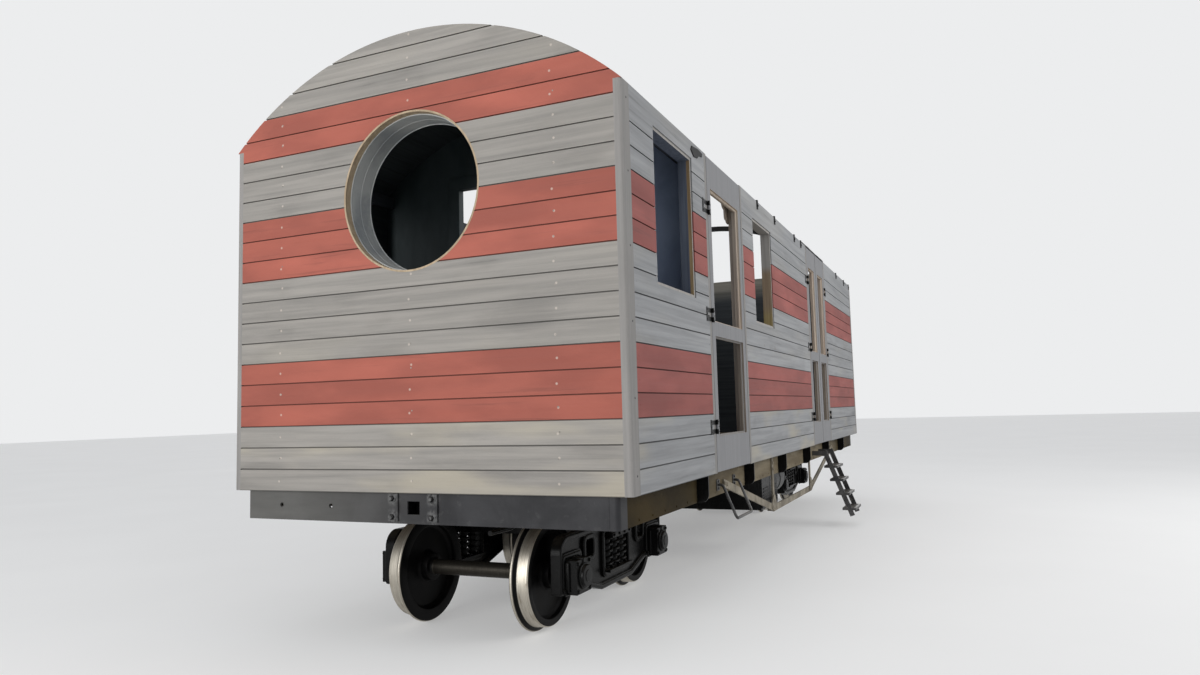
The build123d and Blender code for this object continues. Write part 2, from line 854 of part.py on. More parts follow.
def side_frame_openings():
    """The openings of a side frame in Y and Z: the spring window, two lightening holes and two jaws."""
    half_base = wheelbase / 2
    jaw = axlebox_size / 2 + seat
    window = rounded_opening(about(0, spring_window), (spring_seat_z - spring_window_lip, shoulder_z))
    hole_y = (spring_window + spring_column, half_base - axlebox_size / 2 - arch_leg)
    hole = rounded_opening(hole_y, (axle_z + hole_rise, shoulder_z))
    jaw_z = (axle_z - jaw_foot_drop - over, axle_z + jaw)
    jaw_opening = Pos(half_base, sum(jaw_z) / 2) * Rectangle(2 * jaw, jaw_z[1] - jaw_z[0])
    one_half = (hole, jaw_opening)
    return [window, *one_half, *(opening.mirror(Plane.YZ) for opening in one_half)]


def side_frame():
    """The right cast side frame of a bogie about its centre: a web with a thick rim on every edge."""
    outline = side_frame_outline()
    pocket = offset(outline, -side_frame_rim)
    for opening in side_frame_openings():
        outline -= opening
        pocket -= offset(opening, side_frame_rim)
    frame = extrude(Plane.YZ * outline, amount=side_frame_thickness)
    pocket_depth = (side_frame_thickness - side_frame_web) / 2
    for low_x in (-over, side_frame_thickness - pocket_depth):
        frame -= Pos(low_x, 0, 0) * extrude(Plane.YZ * pocket, amount=pocket_depth + over)
    return Pos(side_frame_x - side_frame_thickness / 2, 0, 0) * frame


def bogie_frame():
    """The side frames of a bogie with the bolster between them, about the bogie's centre."""
    seat_x = about(side_frame_x, spring_seat_width / 2)
    spring_seat = block(
        seat_x, about(0, spring_window + over), (spring_seat_z - spring_seat_thickness, spring_seat_z)
    )
    bolster_y = about(0, bolster_half_length)
    pieces = both_sides(side_frame().fuse(spring_seat))
    pieces.append(block(about(0, seat_x[1]), bolster_y, (spring_top_z, shoulder_z + over)))
    inner = side_frame_x - side_frame_thickness
    pieces.append(block(about(0, inner), bolster_y, (spring_top_z, bolster_top)))
    plate_top = body_bolster_bottom - run
    pieces.append(rod((0, 0, bolster_top - over), (0, 0, plate_top), centre_plate_radius))
    pin_foot = body_bolster_bottom - centre_pin_length - run
    return union(pieces) - rod((0, 0, pin_foot), (0, 0, plate_top + over), centre_pin_radius + run)


def spring(y):
    """A coil spring of the right nest, as a ribbed column."""
    height = spring_top_z - spring_seat_z - 2 * seat
    pitch = height / spring_turns
    groove = spring_radius - spring_wire / 2
    points = [(0, 0, 0)]
    for turn in range(spring_turns):
        turn_z = [(turn + share / 4) * pitch for share in range(4)]
        radii = (groove, spring_radius, spring_radius, groove)
        points += [(radius, 0, z) for radius, z in zip(radii, turn_z)]
    points += [(groove, 0, height), (0, 0, height)]
    column = revolve(make_face(Polyline(*points, close=True)), Axis.Z)
    return Pos(side_frame_x, y, spring_seat_z + seat) * column


def axlebox(end):
    """The right axlebox at one end of a bogie, closed outside, with the journal's bore."""
    y = end * wheelbase / 2
    half = axlebox_size / 2
    inner = side_frame_x - axlebox_inner_stand
    outer = side_frame_x + axlebox_outer_stand
    box = block((inner, outer), about(y, half), about(axle_z, half))
    box += rod((outer - over, y, axle_z), (outer + axlebox_cap, y, axle_z), axlebox_cap_radius)
    bore_end = journal_end + journal_end_gap
    return box - rod((inner - over, y, axle_z), (bore_end, y, axle_z), journal_radius + run)


def write_node(name, pieces):
    """One STEP file with the node's solids."""
    solids = [solid for piece in pieces for solid in piece.solids()]
    shape = solids[0] if len(solids) == 1 else Compound(children=solids)
    export_step(shape, f"parts/{name}.step")


os.makedirs("parts", exist_ok=True)

# Body
write_node("floor", [floor()])
write_node("end_wall_front", [end_wall_front()])
write_node("end_wall_rear", [end_wall_rear()])
write_node("porthole_lining", [porthole_lining()])
write_node("porthole_rim", [porthole_rim()])
posts = both_sides(corner_post())
write_node("corner_posts", posts + [other_end(post) for post in posts])
write_node("cant_rails", both_sides(cant_rail()))
write_node("partition", [partition()])
write_node("roof_front", [roof_front()])
write_node("roof_bows", [roof_bow()] + [piece for clip in roof_clips() for piece in both_sides(clip)])
write_node("window_liners", [piece for window in side_windows for piece in both_sides(window_liner(window))])
frames = [door_frame(doorway) for doorway in (single_doorway, double_doorway)]
write_node("door_frames", [piece for frame in frames for piece in both_sides(frame)])
for panel_name, low_y, high_y in side_panels:
    panel = side_panel((low_y, high_y))
    for side_name, side in sides:
        write_node(f"side_{side_name}_{panel_name}", [mirrored(panel, side)])

# Doors and their hinges
fixed_hinges = []
for name, hinge_y, free_y, free_gap, hinge_stile, free_stile in leaves:
    leaf = leaf_shape(hinge_y, free_y, free_gap, hinge_stile, free_stile)
    leaf = union([leaf] + hinge_part(hinge_y, free_y, True))
    fixed_hinges += hinge_part(hinge_y, free_y, False)
    for side_name, side in sides:
        write_node(f"door_{side_name}_{name}", [mirrored(leaf, side)])
write_node("hinge_plates", [piece for hinge in fixed_hinges for piece in both_sides(hinge)])

# Underframe
centre_sill = beam_along_y(centre_sill_x, between_headstocks())
write_node("frame_sills", both_sides(solebar()) + both_sides(centre_sill))
write_node("headstocks", [headstock(True), other_end(headstock(False))])
cross_beams = [piece for y in cross_beam_ys for piece in cross_beam(y)]
write_node("cross_members", cross_beams + [body_bolster(y) for _, y in ends])
write_node("outriggers", [piece for y in outrigger_ys for piece in both_sides(outrigger(y))])
write_node("trusses", both_sides(truss()))
write_node("battery_boxes", both_sides(battery_box()))
write_node("air_reservoirs", both_sides(reservoir()))
write_node("brake_gear", [brake_gear()])
write_node("step_irons", both_sides(step_iron()))
write_node("step_ladders", both_sides(step_ladder()))

# Bogies
coil_springs = [piece for y in spring_ys for piece in both_sides(spring(y))]
axleboxes = [piece for end in (-1, 1) for piece in both_sides(axlebox(end))]
for end_name, centre in ends:
    place = Pos(0, centre, 0)
    write_node(f"bogie_frame_{end_name}", [place * bogie_frame()])
    write_node(f"springs_{end_name}", [place * piece for piece in coil_springs])
    write_node(f"axleboxes_{end_name}", [place * piece for piece in axleboxes])
    for axle_name, axle_y in (("leading", centre - wheelbase / 2), ("trailing", centre + wheelbase / 2)):
        write_node(f"wheelset_{end_name}_{axle_name}", [Pos(0, axle_y, axle_z) * wheelset()])
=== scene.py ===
"""Finishes, details, floor, lights and camera of the narrow gauge passenger coach."""

import logging
import math
from dataclasses import dataclass
from enum import Enum
from typing import Sequence, Union

import bpy
import numpy as np
from mathutils import Matrix, Vector


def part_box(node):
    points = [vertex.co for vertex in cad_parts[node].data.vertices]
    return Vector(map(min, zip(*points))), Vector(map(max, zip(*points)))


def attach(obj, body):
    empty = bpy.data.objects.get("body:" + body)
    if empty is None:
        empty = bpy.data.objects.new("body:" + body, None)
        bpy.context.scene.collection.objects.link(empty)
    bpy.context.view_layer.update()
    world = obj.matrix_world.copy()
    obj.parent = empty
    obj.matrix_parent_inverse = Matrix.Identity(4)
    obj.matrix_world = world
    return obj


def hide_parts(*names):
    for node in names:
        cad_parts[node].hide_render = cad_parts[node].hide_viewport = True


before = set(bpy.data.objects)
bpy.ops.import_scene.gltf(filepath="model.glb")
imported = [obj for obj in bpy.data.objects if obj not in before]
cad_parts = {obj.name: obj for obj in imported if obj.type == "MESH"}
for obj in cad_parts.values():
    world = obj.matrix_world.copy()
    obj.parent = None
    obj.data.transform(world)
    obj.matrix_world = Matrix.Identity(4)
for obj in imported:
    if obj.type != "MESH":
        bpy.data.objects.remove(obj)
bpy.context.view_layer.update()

log = logging.getLogger("coach")

Array = np.ndarray
Pair = tuple[float, float]
Colour = tuple[float, float, float]
Value = Union[float, Colour, "Term"]

# Sizes of the body that several sub-assemblies share, in metres

SILL = 0.813
PITCH = 0.118
EAVES = 2.768
HALF_WIDTH = 1.22
HALF_LENGTH = 3.97
ARCH_RADIUS = 1.777
ARCH_CENTRE = 1.476


class Named(Enum):
    """Options whose names in lower case are used in node names."""

    @property
    def word(self) -> str:
        """The option's name in node names."""
        return self.name.lower()


class Axis(Enum):
    """An axis of the coach's frame."""

    X = 0
    Y = 1
    Z = 2


class Side(Named):
    """A side of the coach, with its sign along X."""

    RIGHT = 1
    LEFT = -1


class End(Named):
    """An end of the coach, with its sign along Y."""

    FRONT = -1
    REAR = 1


class Slot(Enum):
    """The record's material slots."""

    PLANKING = "grey_planking"
    DOOR = "door_paint"
    WOOD = "raw_wood"
    INSIDE = "inside_paint"
    ROOF = "roof_boards"
    DECK = "floor_boards"
    HEADSTOCK = "headstock_paint"
    FRAME = "frame_paint"
    BOW = "bow_steel"
    TRUSS = "truss_steel"
    IRON = "black_iron"
    WHEEL = "wheel_steel"
    STEP = "step_steel"


# Surfaces


def points(x: Array | float, y: Array | float, z: Array | float) -> Array:
    """Rows of points from three coordinates, each one number or an array."""
    return np.stack(np.broadcast_arrays(x, y, z), -1).reshape(-1, 3)


@dataclass
class Surface:
    """A mesh in arrays.

    corners has one row for each point. faces holds arrays of point numbers, one array for each
    number of sides and one row for each face.
    """

    corners: Array
    faces: list[Array]

    def moved(self, x: float, y: float, z: float) -> "Surface":
        """The surface shifted by an offset."""
        return Surface(self.corners + np.array((x, y, z)), self.faces)

    def turned(self) -> "Surface":
        """The surface turned half round about Z."""
        return Surface(self.corners * np.array((-1, -1, 1)), self.faces)

    def mirrored(self, axis: Axis = Axis.X) -> "Surface":
        """The mirror image across the plane through the origin, its faces turned outward again."""
        signs = np.where(np.arange(3) == axis.value, -1, 1)
        return Surface(self.corners * signs, [face[:, ::-1] for face in self.faces])

    def on_both_sides(self) -> "Surface":
        """The surface with its mirror image on the other side of the coach."""
        return joined([self, self.mirrored()])

    def on_side(self, side: Side) -> "Surface":
        """The surface as made for the right side, or its mirror image for the left one."""
        return self if side is Side.RIGHT else self.mirrored()

    def repeated(self, offsets: Array | Sequence[Sequence[float]]) -> "Surface":
        """One surface with a copy at every offset.

        Args:
            offsets: One row of x, y and z for each copy.

        Returns:
            All the copies: every point plus every offset, with the point numbers counted on.
        """
        offsets = np.asarray(offsets, float).reshape(-1, 3)
        corners = (offsets[:, None, :] + self.corners[None, :, :]).reshape(-1, 3)
        shift = (np.arange(len(offsets)) * len(self.corners))[:, None, None]
        return Surface(corners, [(face[None] + shift).reshape(-1, face.shape[1]) for face in self.faces])

    def outward(self) -> "Surface":
        """The closed surface with its faces outward.

        Returns:
            The surface, its faces turned round if its signed volume is below zero. The volume is the
            sum over the fan triangles of each face of the triple product of their corners.
        """
        volume = 0.0
        for face in self.faces:
            ring = self.corners[face]
            first = ring[:, :1].repeat(face.shape[1] - 2, axis=1)
            volume += float(np.sum(first * np.cross(ring[:, 1:-1], ring[:, 2:])))
        return Surface(self.corners, [face[:, ::-1] for face in self.faces]) if volume < 0 else self


def joined(surfaces: Sequence[Surface]) -> Surface:
    """Several surfaces as one.

    Args:
        surfaces: The surfaces to join.

    Returns:
        One surface with all their points and faces.
    """
    starts = np.cumsum([0] + [len(surface.corners) for surface in surfaces])
    faces = [face + start for surface, start in zip(surfaces, starts) for face in surface.faces]
    return Surface(np.concatenate([surface.corners for surface in surfaces]), faces)


def lofted(rings: Array, closed: bool = False) -> Surface:
    """Rings joined by four-sided faces.

    Point (i, j) of the grid is the j-th point of the i-th ring, and each face joins a point with its
    next one along the ring and with the same two of the next ring.

    Args:
        rings: An array of rings, points and coordinates.
        closed: Whether the last ring joins the first. If not, both end rings get a flat cap.

    Returns:
        The closed surface, its faces outward.
    """
    rows, columns = rings.shape[:2]
    row = np.arange(rows if closed else rows - 1)[:, None] * columns
    column = np.arange(columns)[None, :]
    after = (column + 1) % columns
    below = (row + columns) % (rows * columns)
    faces = [np.stack([row + column, row + after, below + after, below + column], -1).reshape(-1, 4)]
    if not closed:
        cap = np.arange(columns)
        faces.append(np.stack([cap[::-1], cap + (rows - 1) * columns]))
    return Surface(rings.reshape(-1, 3), faces).outward()


def placed(axis: Axis, first: Array, second: Array, along: Array | float) -> Array:
    """Points from flat coordinates and a level along an axis.

    Args:
        axis: The axis that the level counts along.
        first: The coordinate along the first of the two other axes, in the order X, Y, Z.
        second: The coordinate along the second of them.
        along: The level along the axis.

    Returns:
        The points, with x, y and z in the last dimension.
    """
    parts = [first, second]
    parts.insert(axis.value, along)
    return np.stack(np.broadcast_arrays(*parts), -1)


def revolved(profile: Sequence[Pair] | Array, axis: Axis, segments: int = 48, ring: bool = False) -> Surface:
    """A profile turned about an axis through the origin.

    Point (i, j) stands at level i of the profile, at its radius times the cosine and sine of
    2 pi j / segments.

    Args:
        profile: Rows of level along the axis and radius.
        axis: The axis.
        segments: The number of points round the axis.
        ring: Whether the profile is a closed loop that stays off the axis.

    Returns:
        The closed surface.
    """
    level, radius = np.asarray(profile, float).T[:, :, None]
    angle = np.arange(segments)[None, :] * 2 * math.pi / segments
    return lofted(placed(axis, radius * np.cos(angle), radius * np.sin(angle), level), ring)


def round_section(radius: float, count: int) -> Array:
    """The points of a circle: radius times the cosine and sine of evenly spaced angles."""
    angle = np.arange(count) * 2 * math.pi / count
    return radius * np.stack([np.cos(angle), np.sin(angle)], -1)


def swept(path: Array, section: Array, side: Array | Sequence[float], closed: bool = False) -> Surface:
    """A flat section carried along a path.

    At each point of the path, the section's first coordinate runs along the side direction less its
    part along the path, and its second one along the cross product of the path with that.

    Args:
        path: The path's points, one row each.
        section: The section's points, one row of two coordinates each.
        side: The side direction, one for all points or one row for each.
        closed: Whether the path is a closed loop.

    Returns:
        The closed surface.
    """
    tangent = np.roll(path, -1, 0) - np.roll(path, 1, 0) if closed else np.gradient(path, axis=0)
    tangent /= np.linalg.norm(tangent, axis=1, keepdims=True)
    side = np.broadcast_to(np.asarray(side, float), path.shape)
    across = side - np.sum(side * tangent, 1, keepdims=True) * tangent
    across /= np.linalg.norm(across, axis=1, keepdims=True)
    up = np.cross(tangent, across)
    rings = path[:, None] + section[None, :, :1] * across[:, None] + section[None, :, 1:] * up[:, None]
    return lofted(rings, closed)


def rounded(corners: Sequence[Sequence[float]] | Array, radius: float | Array, steps: int,
            closed: bool = False) -> Array:
    """A path with its corners rounded by arcs.

    With half the turn at a corner as h, the arc touches both runs at the radius times tan h from the
    corner, but never past 0.45 of a run. Its points are the centre plus the start and end arms a and b
    blended as (sin((1-t) 2h) a + sin(t 2h) b) / sin 2h.

    Args:
        corners: The path's corner points, in two or three dimensions.
        radius: The radius of every corner, or one for each.
        steps: The number of points of each arc.
        closed: Whether the path is a closed loop.

    Returns:
        The rounded path's points.
    """
    corners = middle = np.asarray(corners, float)
    before = np.roll(corners, 1, 0) - corners
    after = np.roll(corners, -1, 0) - corners
    radius = np.broadcast_to(np.asarray(radius, float), len(corners))[:, None]
    if not closed:
        before, after, middle, radius = before[1:-1], after[1:-1], corners[1:-1], radius[1:-1]
    length_before = np.linalg.norm(before, axis=1, keepdims=True)
    length_after = np.linalg.norm(after, axis=1, keepdims=True)
    before, after = before / length_before, after / length_after
    half = np.arccos(np.clip(-np.sum(before * after, 1, keepdims=True), -1, 1)) / 2
    half = np.clip(half, 1e-4, math.pi / 2 - 1e-4)
    reach = np.minimum(radius * np.tan(half), 0.45 * np.minimum(length_before, length_after))
    inward = (before + after) / np.linalg.norm(before + after, axis=1, keepdims=True)
    to_centre = inward * np.hypot(reach, reach / np.tan(half))
    start, end = before * reach - to_centre, after * reach - to_centre
    t = np.linspace(0, 1, steps)[None, :, None]
    turn = 2 * half[:, None]
    blend = np.sin((1 - t) * turn) * start[:, None] + np.sin(t * turn) * end[:, None]
    curve = ((middle + to_centre)[:, None] + blend / np.sin(turn)).reshape(-1, corners.shape[1])
    return curve if closed else np.concatenate([corners[:1], curve, corners[-1:]])


def inset(outline: Array, distance: float) -> Array:
    """An outline moved inward.

    Each corner moves by the distance times (n + m) / (1 + n.m), where n and m are the inward normals
    of its two edges.

    Args:
        outline: The corners in order, one row of two coordinates each.
        distance: How far the edges move inward.

    Returns:
        The moved corners.
    """
    following = np.roll(outline, -1, 0)
    before = outline - np.roll(outline, 1, 0)
    after = following - outline
    before /= np.linalg.norm(before, axis=1, keepdims=True)
    after /= np.linalg.norm(after, axis=1, keepdims=True)
    area = np.sum(outline[:, 0] * following[:, 1] - outline[:, 1] * following[:, 0])
    turn = np.array(((0, -1), (1, 0))) * np.sign(area)
    first, second = before @ turn.T, after @ turn.T
    return outline + distance * (first + second) / (1 + np.sum(first * second, 1, keepdims=True))


def plate(outline: Sequence[Pair] | Array, axis: Axis, low: float, high: float,
          bevel: float = 0.001) -> Surface:
    """A plate with bevelled edges.

    Its rings are the outline moved inward by the bevel at both faces, and the outline itself a bevel
    away from each face.

    Args:
        outline: The plate's corners on the two other axes.
        axis: The axis across the plate.
        low: The lower face's level.
        high: The upper face's level.
        bevel: The width of the bevel.

    Returns:
        The closed surface.
    """
    outline = np.asarray(outline, float)
    smaller = inset(outline, bevel)
    flat = np.stack([smaller, outline, outline, smaller])
    level = np.array((low, low + bevel, high - bevel, high))[:, None]
    return lofted(placed(axis, flat[..., 0], flat[..., 1], level))


def rectangle(low: Pair, high: Pair) -> Array:
    """The corners of a rectangle in order, from its lowest and highest corner."""
    return np.array((low, (high[0], low[1]), high, (low[0], high[1])), float)


def pad(low: Pair, high: Pair, radius: float, axis: Axis, near: float, far: float, bevel: float,
        steps: int = 4) -> Surface:
    """A rectangular plate with rounded corners and bevelled edges.

    Args:
        low: Its lowest corner on the two other axes.
        high: Its highest corner there.
        radius: The radius of its corners.
        axis: The axis across it.
        near: The lower face's level.
        far: The upper face's level.
        bevel: The width of the bevel.
        steps: The number of points of each corner's arc.

    Returns:
        The closed surface.
    """
    return plate(rounded(rectangle(low, high), radius, steps, True), axis, near, far, bevel)


def mitred_frame(low: Pair, high: Pair, section: Sequence[Pair], axis: Axis) -> Surface:
    """A section carried round a rectangle with mitred corners.

    At each corner the section's first coordinate moves its points inward along both edges at once,
    and its second one is the level along the axis.

    Args:
        low: The rectangle's lowest corner on the two other axes.
        high: Its highest corner.
        section: Rows of distance inward and level.
        axis: The axis across the frame.

    Returns:
        The closed surface.
    """
    corners = rectangle(low, high)
    inward = np.sign(corners.mean(0) - corners)
    inset_by, level = np.asarray(section, float).T
    flat = corners[:, None] + inset_by[None, :, None] * inward[:, None]
    return lofted(placed(axis, flat[..., 0], flat[..., 1], level[None]), True)


def bolt(radius: float, height: float, axis: Axis = Axis.X, way: int = 1) -> Surface:
    """A hexagon bolt head on its washer, at the origin.

    Args:
        radius: The head's corner radius.
        height: The head's height.
        axis: The bolt's axis.
        way: 1 or -1, the way the head looks along the axis.

    Returns:
        The head and its washer, a six-sided and a round profile turned about the axis.
    """
    signs = np.array((way, 1))
    head = np.array(((-0.001, radius), (0.8 * height, radius), (height, 0.8 * radius)))
    washer = np.array(((-0.001, 1.35 * radius), (0.2 * height, 1.35 * radius), (0.25 * height, 1.2 * radius)))
    return joined([revolved(head * signs, axis, 6), revolved(washer * signs, axis, 14)])


def dome(radius: float, height: float, axis: Axis = Axis.X, way: int = 1, segments: int = 10) -> Surface:
    """A round head at the origin: a screw, nail or rivet.

    Args:
        radius: The head's radius.
        height: Its height.
        axis: Its axis.
        way: 1 or -1, the way the head looks along the axis.
        segments: The number of points round it.

    Returns:
        The head, a quarter ellipse turned about the axis.
    """
    angle = np.array((0.0, 0.5, 1.0, 1.35))
    cap = np.stack([height * np.sin(angle), radius * np.cos(angle)], -1)
    profile = np.concatenate([((-0.0008, radius),), cap])
    return revolved(profile * np.array((way, 1)), axis, segments)


# Materials


class Term:
    """A number, vector or colour in a material. Its arithmetic adds nodes."""

    def __init__(self, graph: "Graph", socket: bpy.types.NodeSocket) -> None:
        """Holds a node's output and its graph."""
        self.graph = graph
        self.socket = socket

    def math(self, operation: str, other: Value = 0.0) -> "Term":
        """One step of arithmetic, with another number where the operation takes two."""
        return self.graph.node("Math", {0: self, 1: other}, operation=operation)

    def __add__(self, other: Value) -> "Term":
        """The sum."""
        return self.math("ADD", other)

    __radd__ = __add__

    def __sub__(self, other: float) -> "Term":
        """The difference from a plain number."""
        return self + -other

    def __mul__(self, other: Value) -> "Term":
        """The product."""
        return self.math("MULTIPLY", other)

    def __abs__(self) -> "Term":
        """The number without its sign."""
        return self.math("ABSOLUTE")

    def above(self, level: float) -> "Term":
        """1 above a level, else 0."""
        return self.math("GREATER_THAN", level)

    def below(self, level: float) -> "Term":
        """1 below a level, else 0."""
        return self.math("LESS_THAN", level)

    def between(self, low: float, high: float) -> "Term":
        """1 between two levels, else 0."""
        return self.above(low) * self.below(high)

    def fraction(self) -> "Term":
        """The part after the whole number."""
        return self.math("FRACT")

    def to_whole(self) -> "Term":
        """The distance to the nearest whole number."""
        return abs((self + 0.5).fraction() - 0.5)

    def chance(self) -> "Term":
        """A fixed random number from 0 to 1 for each value."""
        return self.graph.node("TexWhiteNoise", {"W": self}, "Value", noise_dimensions="1D")

    def ramp(self, low: float, high: float) -> "Term":
        """A smooth step.

        Args:
            low: Where the step is 0.
            high: Where the step is 1. Below low, the step runs downward.

        Returns:
            A number from 0 to 1.
        """
        start, stop = (0.0, 1.0) if high > low else (1.0, 0.0)
        inputs = {"Value": self, "From Min": min(low, high), "From Max": max(low, high), "To Min": start,
                  "To Max": stop}
        return self.graph.node("MapRange", inputs, interpolation_type="SMOOTHSTEP")

    def mix(self, first: Value, second: Value) -> "Term":
        """A colour between two: the first where this share is 0, the second where it is 1."""
        return self.graph.node("Mix", {0: self, 6: first, 7: second}, 2, data_type="RGBA")

    def scaled(self, factor: Value) -> "Term":
        """This colour made darker or lighter by a factor."""
        return self.graph.node("VectorMath", {0: self, "Scale": factor}, operation="SCALE")


def distance(first: Term, second: Term) -> Term:
    """The length of two steps at right angles: the root of the sum of their squares."""
    return (first * first + second * second).math("SQRT")


class Graph:
    """A material's nodes, with a short call for each kind that the finishes use."""

    def __init__(self, name: str) -> None:
        """Makes the material with its shader.

        Args:
            name: The material's name.
        """
        self.material = bpy.data.materials.new(name)
        self.material.use_nodes = True
        self.tree = self.material.node_tree
        self.tree.nodes.clear()
        self.shader = self.tree.nodes.new("ShaderNodeBsdfPrincipled")
        output = self.tree.nodes.new("ShaderNodeOutputMaterial")
        self.tree.links.new(self.shader.outputs[0], output.inputs[0])
        self.coordinates = self.tree.nodes.new("ShaderNodeTexCoord")

    def feed(self, socket: bpy.types.NodeSocket, value: Value) -> None:
        """Links a socket to a term, or writes a constant on it.

        Args:
            socket: The socket that takes the value.
            value: A term, a number, or a colour in screen values up to 255, which is written linear by
                the standard screen curve.
        """
        if isinstance(value, Term):
            self.tree.links.new(value.socket, socket)
        elif isinstance(value, tuple):
            socket.default_value = (*linear(value), 1.0)
        else:
            socket.default_value = value

    def node(self, kind: str, inputs: dict[int | str, Value], output: int | str = 0, **options: str) -> Term:
        """Adds a node.

        Args:
            kind: The node's type, without the words that all types begin with.
            inputs: What goes into its sockets, by their names or numbers.
            output: The output that is used.
            options: Its settings.

        Returns:
            That output.
        """
        node = self.tree.nodes.new(f"ShaderNode{kind}")
        for option, choice in options.items():
            setattr(node, option, choice)
        for socket, value in inputs.items():
            self.feed(node.inputs[socket], value)
        return Term(self, node.outputs[output])

    def split(self, source: str) -> tuple[Term, ...]:
        """The x, y and z of one of the object's own coordinates.

        Args:
            source: Object for the place, or Normal for the surface's direction.

        Returns:
            The three numbers.
        """
        node = self.tree.nodes.new("ShaderNodeSeparateXYZ")
        self.tree.links.new(self.coordinates.outputs[source], node.inputs[0])
        return tuple(Term(self, output) for output in node.outputs)

    def place(self) -> tuple[Term, ...]:
        """The point's place on the object, as its x, y and z."""
        return self.split("Object")

    def normal(self) -> tuple[Term, ...]:
        """The surface's direction on the object, as its x, y and z."""
        return self.split("Normal")

    def vector(self, parts: Sequence[Value]) -> Term:
        """A vector from its x, y and z."""
        return self.node("CombineXYZ", dict(enumerate(parts)))

    def noise(self, parts: Sequence[Value], detail: float, roughness: float, distortion: float = 0.0) -> Term:
        """Soft noise with one cell for each unit of its place.

        Args:
            parts: The place's x, y and z, scaled to cells.
            detail: The number of finer layers.
            roughness: How strong the finer layers are.
            distortion: How much the noise bends itself.

        Returns:
            A number from 0 to 1, mostly near 0.5.
        """
        inputs = {"Vector": self.vector(parts), "Scale": 1.0, "Detail": detail, "Roughness": roughness,
                  "Distortion": distortion}
        return self.node("TexNoise", inputs)

    def grain(self, scale: float | Colour, detail: float, roughness: float, distortion: float = 0.0) -> Term:
        """Soft noise at the point's place on the object.

        Args:
            scale: The number of cells in a metre, one for all axes or one for each.
            detail: The number of finer layers.
            roughness: How strong the finer layers are.
            distortion: How much the noise bends itself.

        Returns:
            A number from 0 to 1, mostly near 0.5.
        """
        scales = np.broadcast_to(np.asarray(scale, float), 3).tolist()
        parts = [part * by for part, by in zip(self.place(), scales)]
        return self.noise(parts, detail, roughness, distortion)

    def cells(self, parts: Sequence[Value]) -> Term:
        """The distance to the nearest of scattered points, one for each unit of the place."""
        return self.node("TexVoronoi", {"Vector": self.vector(parts), "Scale": 1.0}, "Distance")

    def finish(self, shade: Value, roughness: Value, height: Value | None = None, relief: float = 0.0,
               specular: float = 0.5, metallic: Value = 0.0) -> None:
        """Sets the shader.

        Args:
            shade: The base colour.
            roughness: The roughness.
            height: The bump's height from 0 to 1, or None for no bump.
            relief: The bump's depth in metres.
            specular: The specular level.
            metallic: 0 for paint and wood, 1 for bare metal.
        """
        inputs = {"Base Color": shade, "Roughness": roughness, "Metallic": metallic,
                  "Specular IOR Level": specular}
        if height is not None:
            inputs["Normal"] = self.node("Bump", {"Strength": 0.6, "Distance": relief, "Height": height})
        for socket, value in inputs.items():
            self.feed(self.shader.inputs[socket], value)


def linear(screen: Colour) -> Colour:
    """A linear colour from screen values up to 255, by the standard screen curve."""
    share = np.array(screen) / 255
    return tuple(np.where(share <= 0.04045, share / 12.92, ((share + 0.055) / 1.055) ** 2.4).tolist())


@dataclass(frozen=True)
class Finish:
    """A surface finish. Each kind paints its own material."""

    name: str
    slot: Slot

    def material(self) -> bpy.types.Material:
        """The finish's material, made at its first use.

        Returns:
            The material.
        """
        name = f"finish_{self.name}"
        if name not in bpy.data.materials:
            self.paint(Graph(name))
        return bpy.data.materials[name]

    def paint(self, graph: Graph) -> None:
        """Builds the material's nodes in a graph."""
        raise NotImplementedError


